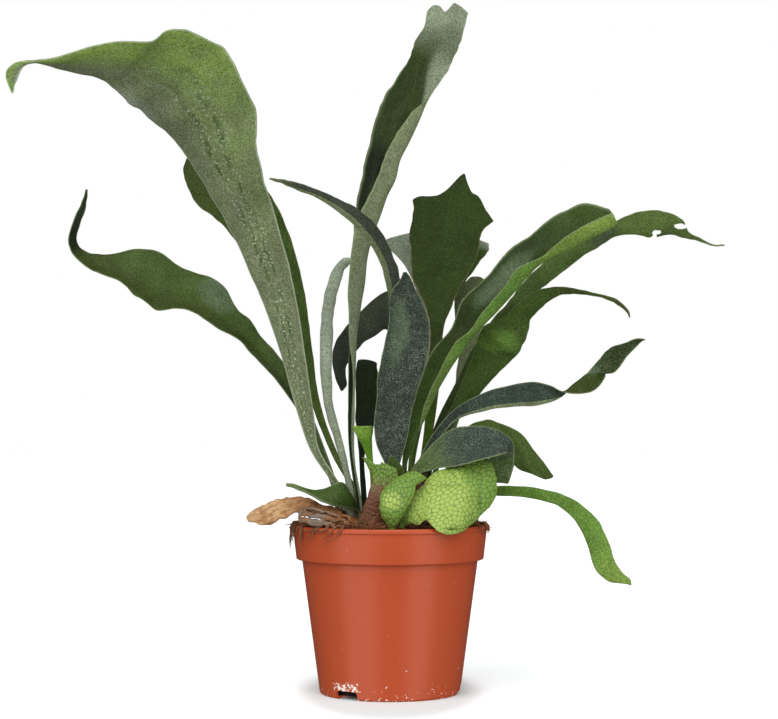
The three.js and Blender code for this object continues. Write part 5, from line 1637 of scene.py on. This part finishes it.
def root_fibres(side):
    """Dry roots matted on the mix and hanging over the rim"""
    rule = ROOTS[side]
    longest = rule["drop"] * MM
    rng = random.Random(len(side) * 11)
    routes = []
    for _ in range(rule["count"]):
        angle = math.radians(rng.uniform(*rule["angles"]))
        drop = longest * rng.uniform(0.15, 1.0) ** 1.5
        routes.append(hanging_route(rng, angle, drop, rng.choice((0.16, 0.35, 0.55, 0.75)) * MM))
    for _ in range(rule["wool"]):
        angle = math.radians(rng.uniform(*rule["wool_angles"]))
        middle = spot_at(rng.uniform(44, 56) * MM, angle, POT_HEIGHT + 0.6 * MM)
        routes.append(tangle_route(rng, middle, (MM, MM, 0.8 * MM), rng.uniform(0.18, 0.4) * MM))
    for _ in range(rule["fringe"]):
        angle = math.radians(rng.uniform(*rule["fringe_angles"]))
        drop = longest * rng.uniform(0.2, 1.2)
        routes.append(hanging_route(rng, angle, drop, rng.uniform(0.15, 0.3) * MM))
    mesh = strand_mesh("roots_" + side, routes)
    mat = once(fibre_material, "root_fibre", "root_brown", "dry_rust", 900.0, 0.9)
    finish_piece("roots_" + side, mesh, (mat,), "root_fibres_" + side)


# Stage

def sun(name, place, power):
    """A soft light from the direction of a place, aimed at the middle of the plant"""
    data = bpy.data.lights.new(name, "SUN")
    data.energy = power
    data.angle = LIGHT_WIDTH
    made = linked(name, data)
    made.location = place
    made.rotation_euler = (LIGHT_AIM - made.location).to_track_quat("-Z", "Y").to_euler()


def sheet(name, matrix, mat):
    """A flat square, one metre wide before the matrix, that belongs to the stage"""
    bm = bmesh.new()
    bmesh.ops.create_grid(bm, x_segments=1, y_segments=1, size=0.5, matrix=matrix)
    made = linked(name, mesh_from(bm, name))
    made.data.materials.append(mat)
    return made


def glow_material(name):
    """A white that only gives out light"""
    mat = new_material(name)
    inputs = mat.node_tree.nodes["Principled BSDF"].inputs
    inputs["Base Color"].default_value = (0, 0, 0, 1)
    inputs["Emission Color"].default_value = (1, 1, 1, 1)
    inputs["Emission Strength"].default_value = bpy.context.scene.fern_stage.card
    mat.cycles.emission_sampling = "NONE"
    return mat


def reflector(name, azimuth, width):
    """A tall white card that only reflections see. Azimuth is from the camera, seen from the pot."""
    turn = math.radians(azimuth)
    middle = Vector((CARD_DISTANCE * math.sin(turn), -CARD_DISTANCE * math.cos(turn), CARD_MIDDLE))
    stand = Matrix.Rotation(turn, 4, "Z") @ Matrix.Rotation(math.radians(90), 4, "X")
    size = Matrix.Diagonal((width, CARD_HEIGHT, 1, 1))
    card = sheet(name, Matrix.Translation(middle) @ stand @ size, once(glow_material, "reflector"))
    card.visible_camera = card.visible_diffuse = card.visible_shadow = False


def floor_material(name):
    """Near-white paper that glows though it is no lamp, but not round the pot: a painted shadow there
    that deepens its own cast shadow
    """
    mat = new_material(name)
    tree = mat.node_tree
    place = object_place(tree)
    shade = step(tree, cloud(tree, place, 3, 2.0), 0.3, 0.7)
    white = blend(tree, shade, (0.78, 0.82, 0.83, 1), (0.8, 0.84, 0.85, 1))
    flat = stretched(tree, place, (1, 0.5, 0))
    from_pot = add(tree, "ShaderNodeVectorMath", (flat,), operation="LENGTH").outputs["Value"]
    # Painted light and shadow: the floor glows away from the pot, and the glow fades out at its foot
    painted_glow = step(
        tree, from_pot, BASE_RADIUS, BASE_RADIUS + 22 * MM, 0.02, bpy.context.scene.fern_stage.floor
    )
    tree.links.new(painted_glow, tree.nodes["Principled BSDF"].inputs["Emission Strength"])
    return finish_material(mat, white, 0.9, Specular_IOR_Level=0.0, Emission_Color=(1, 1, 1, 1))


def room_light():
    """A white room: plain white to the camera, softer to everything else and dim in reflections"""
    rule = bpy.context.scene.fern_stage
    world = bpy.data.worlds.new("room")
    bpy.context.scene.world = world
    world.use_nodes = True
    tree = world.node_tree
    background = tree.nodes["Background"]
    background.inputs["Color"].default_value = (1, 1, 1, 1)
    rays = add(tree, "ShaderNodeLightPath").outputs
    toward = add(tree, "ShaderNodeTexCoord").outputs["Generated"]
    around = step(tree, parts_of(tree, toward)[2], -0.4, 0.4, rule.room * 1.5, rule.room)
    mirrored = product(tree, rays["Is Glossy Ray"], -0.92)
    dimmed = product(tree, around, total(tree, mirrored, 1.0))
    strength = maths(tree, "MAXIMUM", dimmed, rays["Is Camera Ray"])
    tree.links.new(strength, background.inputs["Strength"])


def studio():
    """White floor and room, soft lights from both sides, two reflector cards and the camera"""
    scene = bpy.context.scene
    rule = scene.fern_stage
    floor = sheet("floor", Matrix.Scale(FLOOR_WIDTH, 4), floor_material("floor_white"))
    floor.visible_glossy = floor.visible_diffuse = False
    room_light()
    for name, place in LIGHTS.items():
        sun(name, place, getattr(rule, name))
    for name, (azimuth, width) in CARDS.items():
        reflector(name, azimuth, width)
    lens = bpy.data.cameras.new("camera")
    lens.lens = rule.lens
    lens.sensor_width = SENSOR_WIDTH
    lens.clip_start = 0.05
    camera = linked("camera", lens)
    camera.location = (0, -rule.distance, rule.height)
    camera.rotation_euler = (CAMERA_AIM - camera.location).to_track_quat("-Z", "Y").to_euler()
    scene.camera = camera
    scene.view_settings.view_transform = "Standard"


# Operators

class FERN_OT_pot(bpy.types.Operator):
    """Make the banded plastic pot"""

    bl_idname = "fern.pot"
    bl_label = "Pot"

    def execute(self, context):
        clay_pot()
        return {"FINISHED"}


class FERN_OT_mix(bpy.types.Operator):
    """Make the potting mix"""

    bl_idname = "fern.mix"
    bl_label = "Potting mix"

    def execute(self, context):
        potting_mix()
        return {"FINISHED"}


class FERN_OT_crowns(bpy.types.Operator):
    """Make the three scaly crowns"""

    bl_idname = "fern.crowns"
    bl_label = "Crowns"

    def execute(self, context):
        for name in CROWNS:
            scaly_crown(name)
        return {"FINISHED"}


class FERN_OT_roots(bpy.types.Operator):
    """Make the dry root fibres on the rim"""

    bl_idname = "fern.roots"
    bl_label = "Root fibres"

    def execute(self, context):
        for side in ROOTS:
            root_fibres(side)
        return {"FINISHED"}


class FERN_OT_fronds(bpy.types.Operator):
    """Make every frond and sprout"""

    bl_idname = "fern.fronds"
    bl_label = "Fronds"

    def execute(self, context):
        for name in COATS:
            frond_piece(name)
        return {"FINISHED"}


class FERN_OT_green_shields(bpy.types.Operator):
    """Make the living shields with their net of veins"""

    bl_idname = "fern.green_shields"
    bl_label = "Green shields"

    def execute(self, context):
        for name in GREEN_SHIELDS:
            green_shield(name)
        return {"FINISHED"}


class FERN_OT_dry_shields(bpy.types.Operator):
    """Make the dry and dead shields"""

    bl_idname = "fern.dry_shields"
    bl_label = "Dry shields"

    def execute(self, context):
        for name in DRY_SHIELDS:
            dry_shield(name)
        return {"FINISHED"}


class FERN_OT_stage(bpy.types.Operator):
    """Set up the floor, the lights and the camera"""

    bl_idname = "fern.stage"
    bl_label = "Stage"

    def execute(self, context):
        studio()
        return {"FINISHED"}


OPERATORS = (
    FERN_OT_stage, FERN_OT_pot, FERN_OT_mix, FERN_OT_crowns, FERN_OT_roots, FERN_OT_green_shields,
    FERN_OT_dry_shields, FERN_OT_fronds,
)


class FERN_PT_panel(bpy.types.Panel):
    """Lists the steps that build the fern"""

    bl_label = "Staghorn fern"
    bl_space_type = "VIEW_3D"
    bl_region_type = "UI"
    bl_category = "Fern"

    def draw(self, context):
        for operator in OPERATORS:
            self.layout.operator(operator.bl_idname)
        for settings in SETTINGS:
            box = self.layout.box()
            values = getattr(context.scene, settings)
            for name in values.__annotations__:
                box.prop(values, name)


SETTINGS = {"fern_sizes": FernSizes, "fern_colours": FernColours, "fern_stage": FernStage}
CLASSES = (*SETTINGS.values(), *OPERATORS, FERN_PT_panel)


def register():
    for kind in CLASSES:
        bpy.utils.register_class(kind)
    for name, kind in SETTINGS.items():
        setattr(bpy.types.Scene, name, PointerProperty(type=kind))


def unregister():
    for name in SETTINGS:
        delattr(bpy.types.Scene, name)
    for kind in reversed(CLASSES):
        bpy.utils.unregister_class(kind)


def main():
    register()
    for operator in OPERATORS:
        family, name = operator.bl_idname.split(".")
        getattr(getattr(bpy.ops, family), name)()


if __name__ == "__main__":
    main()
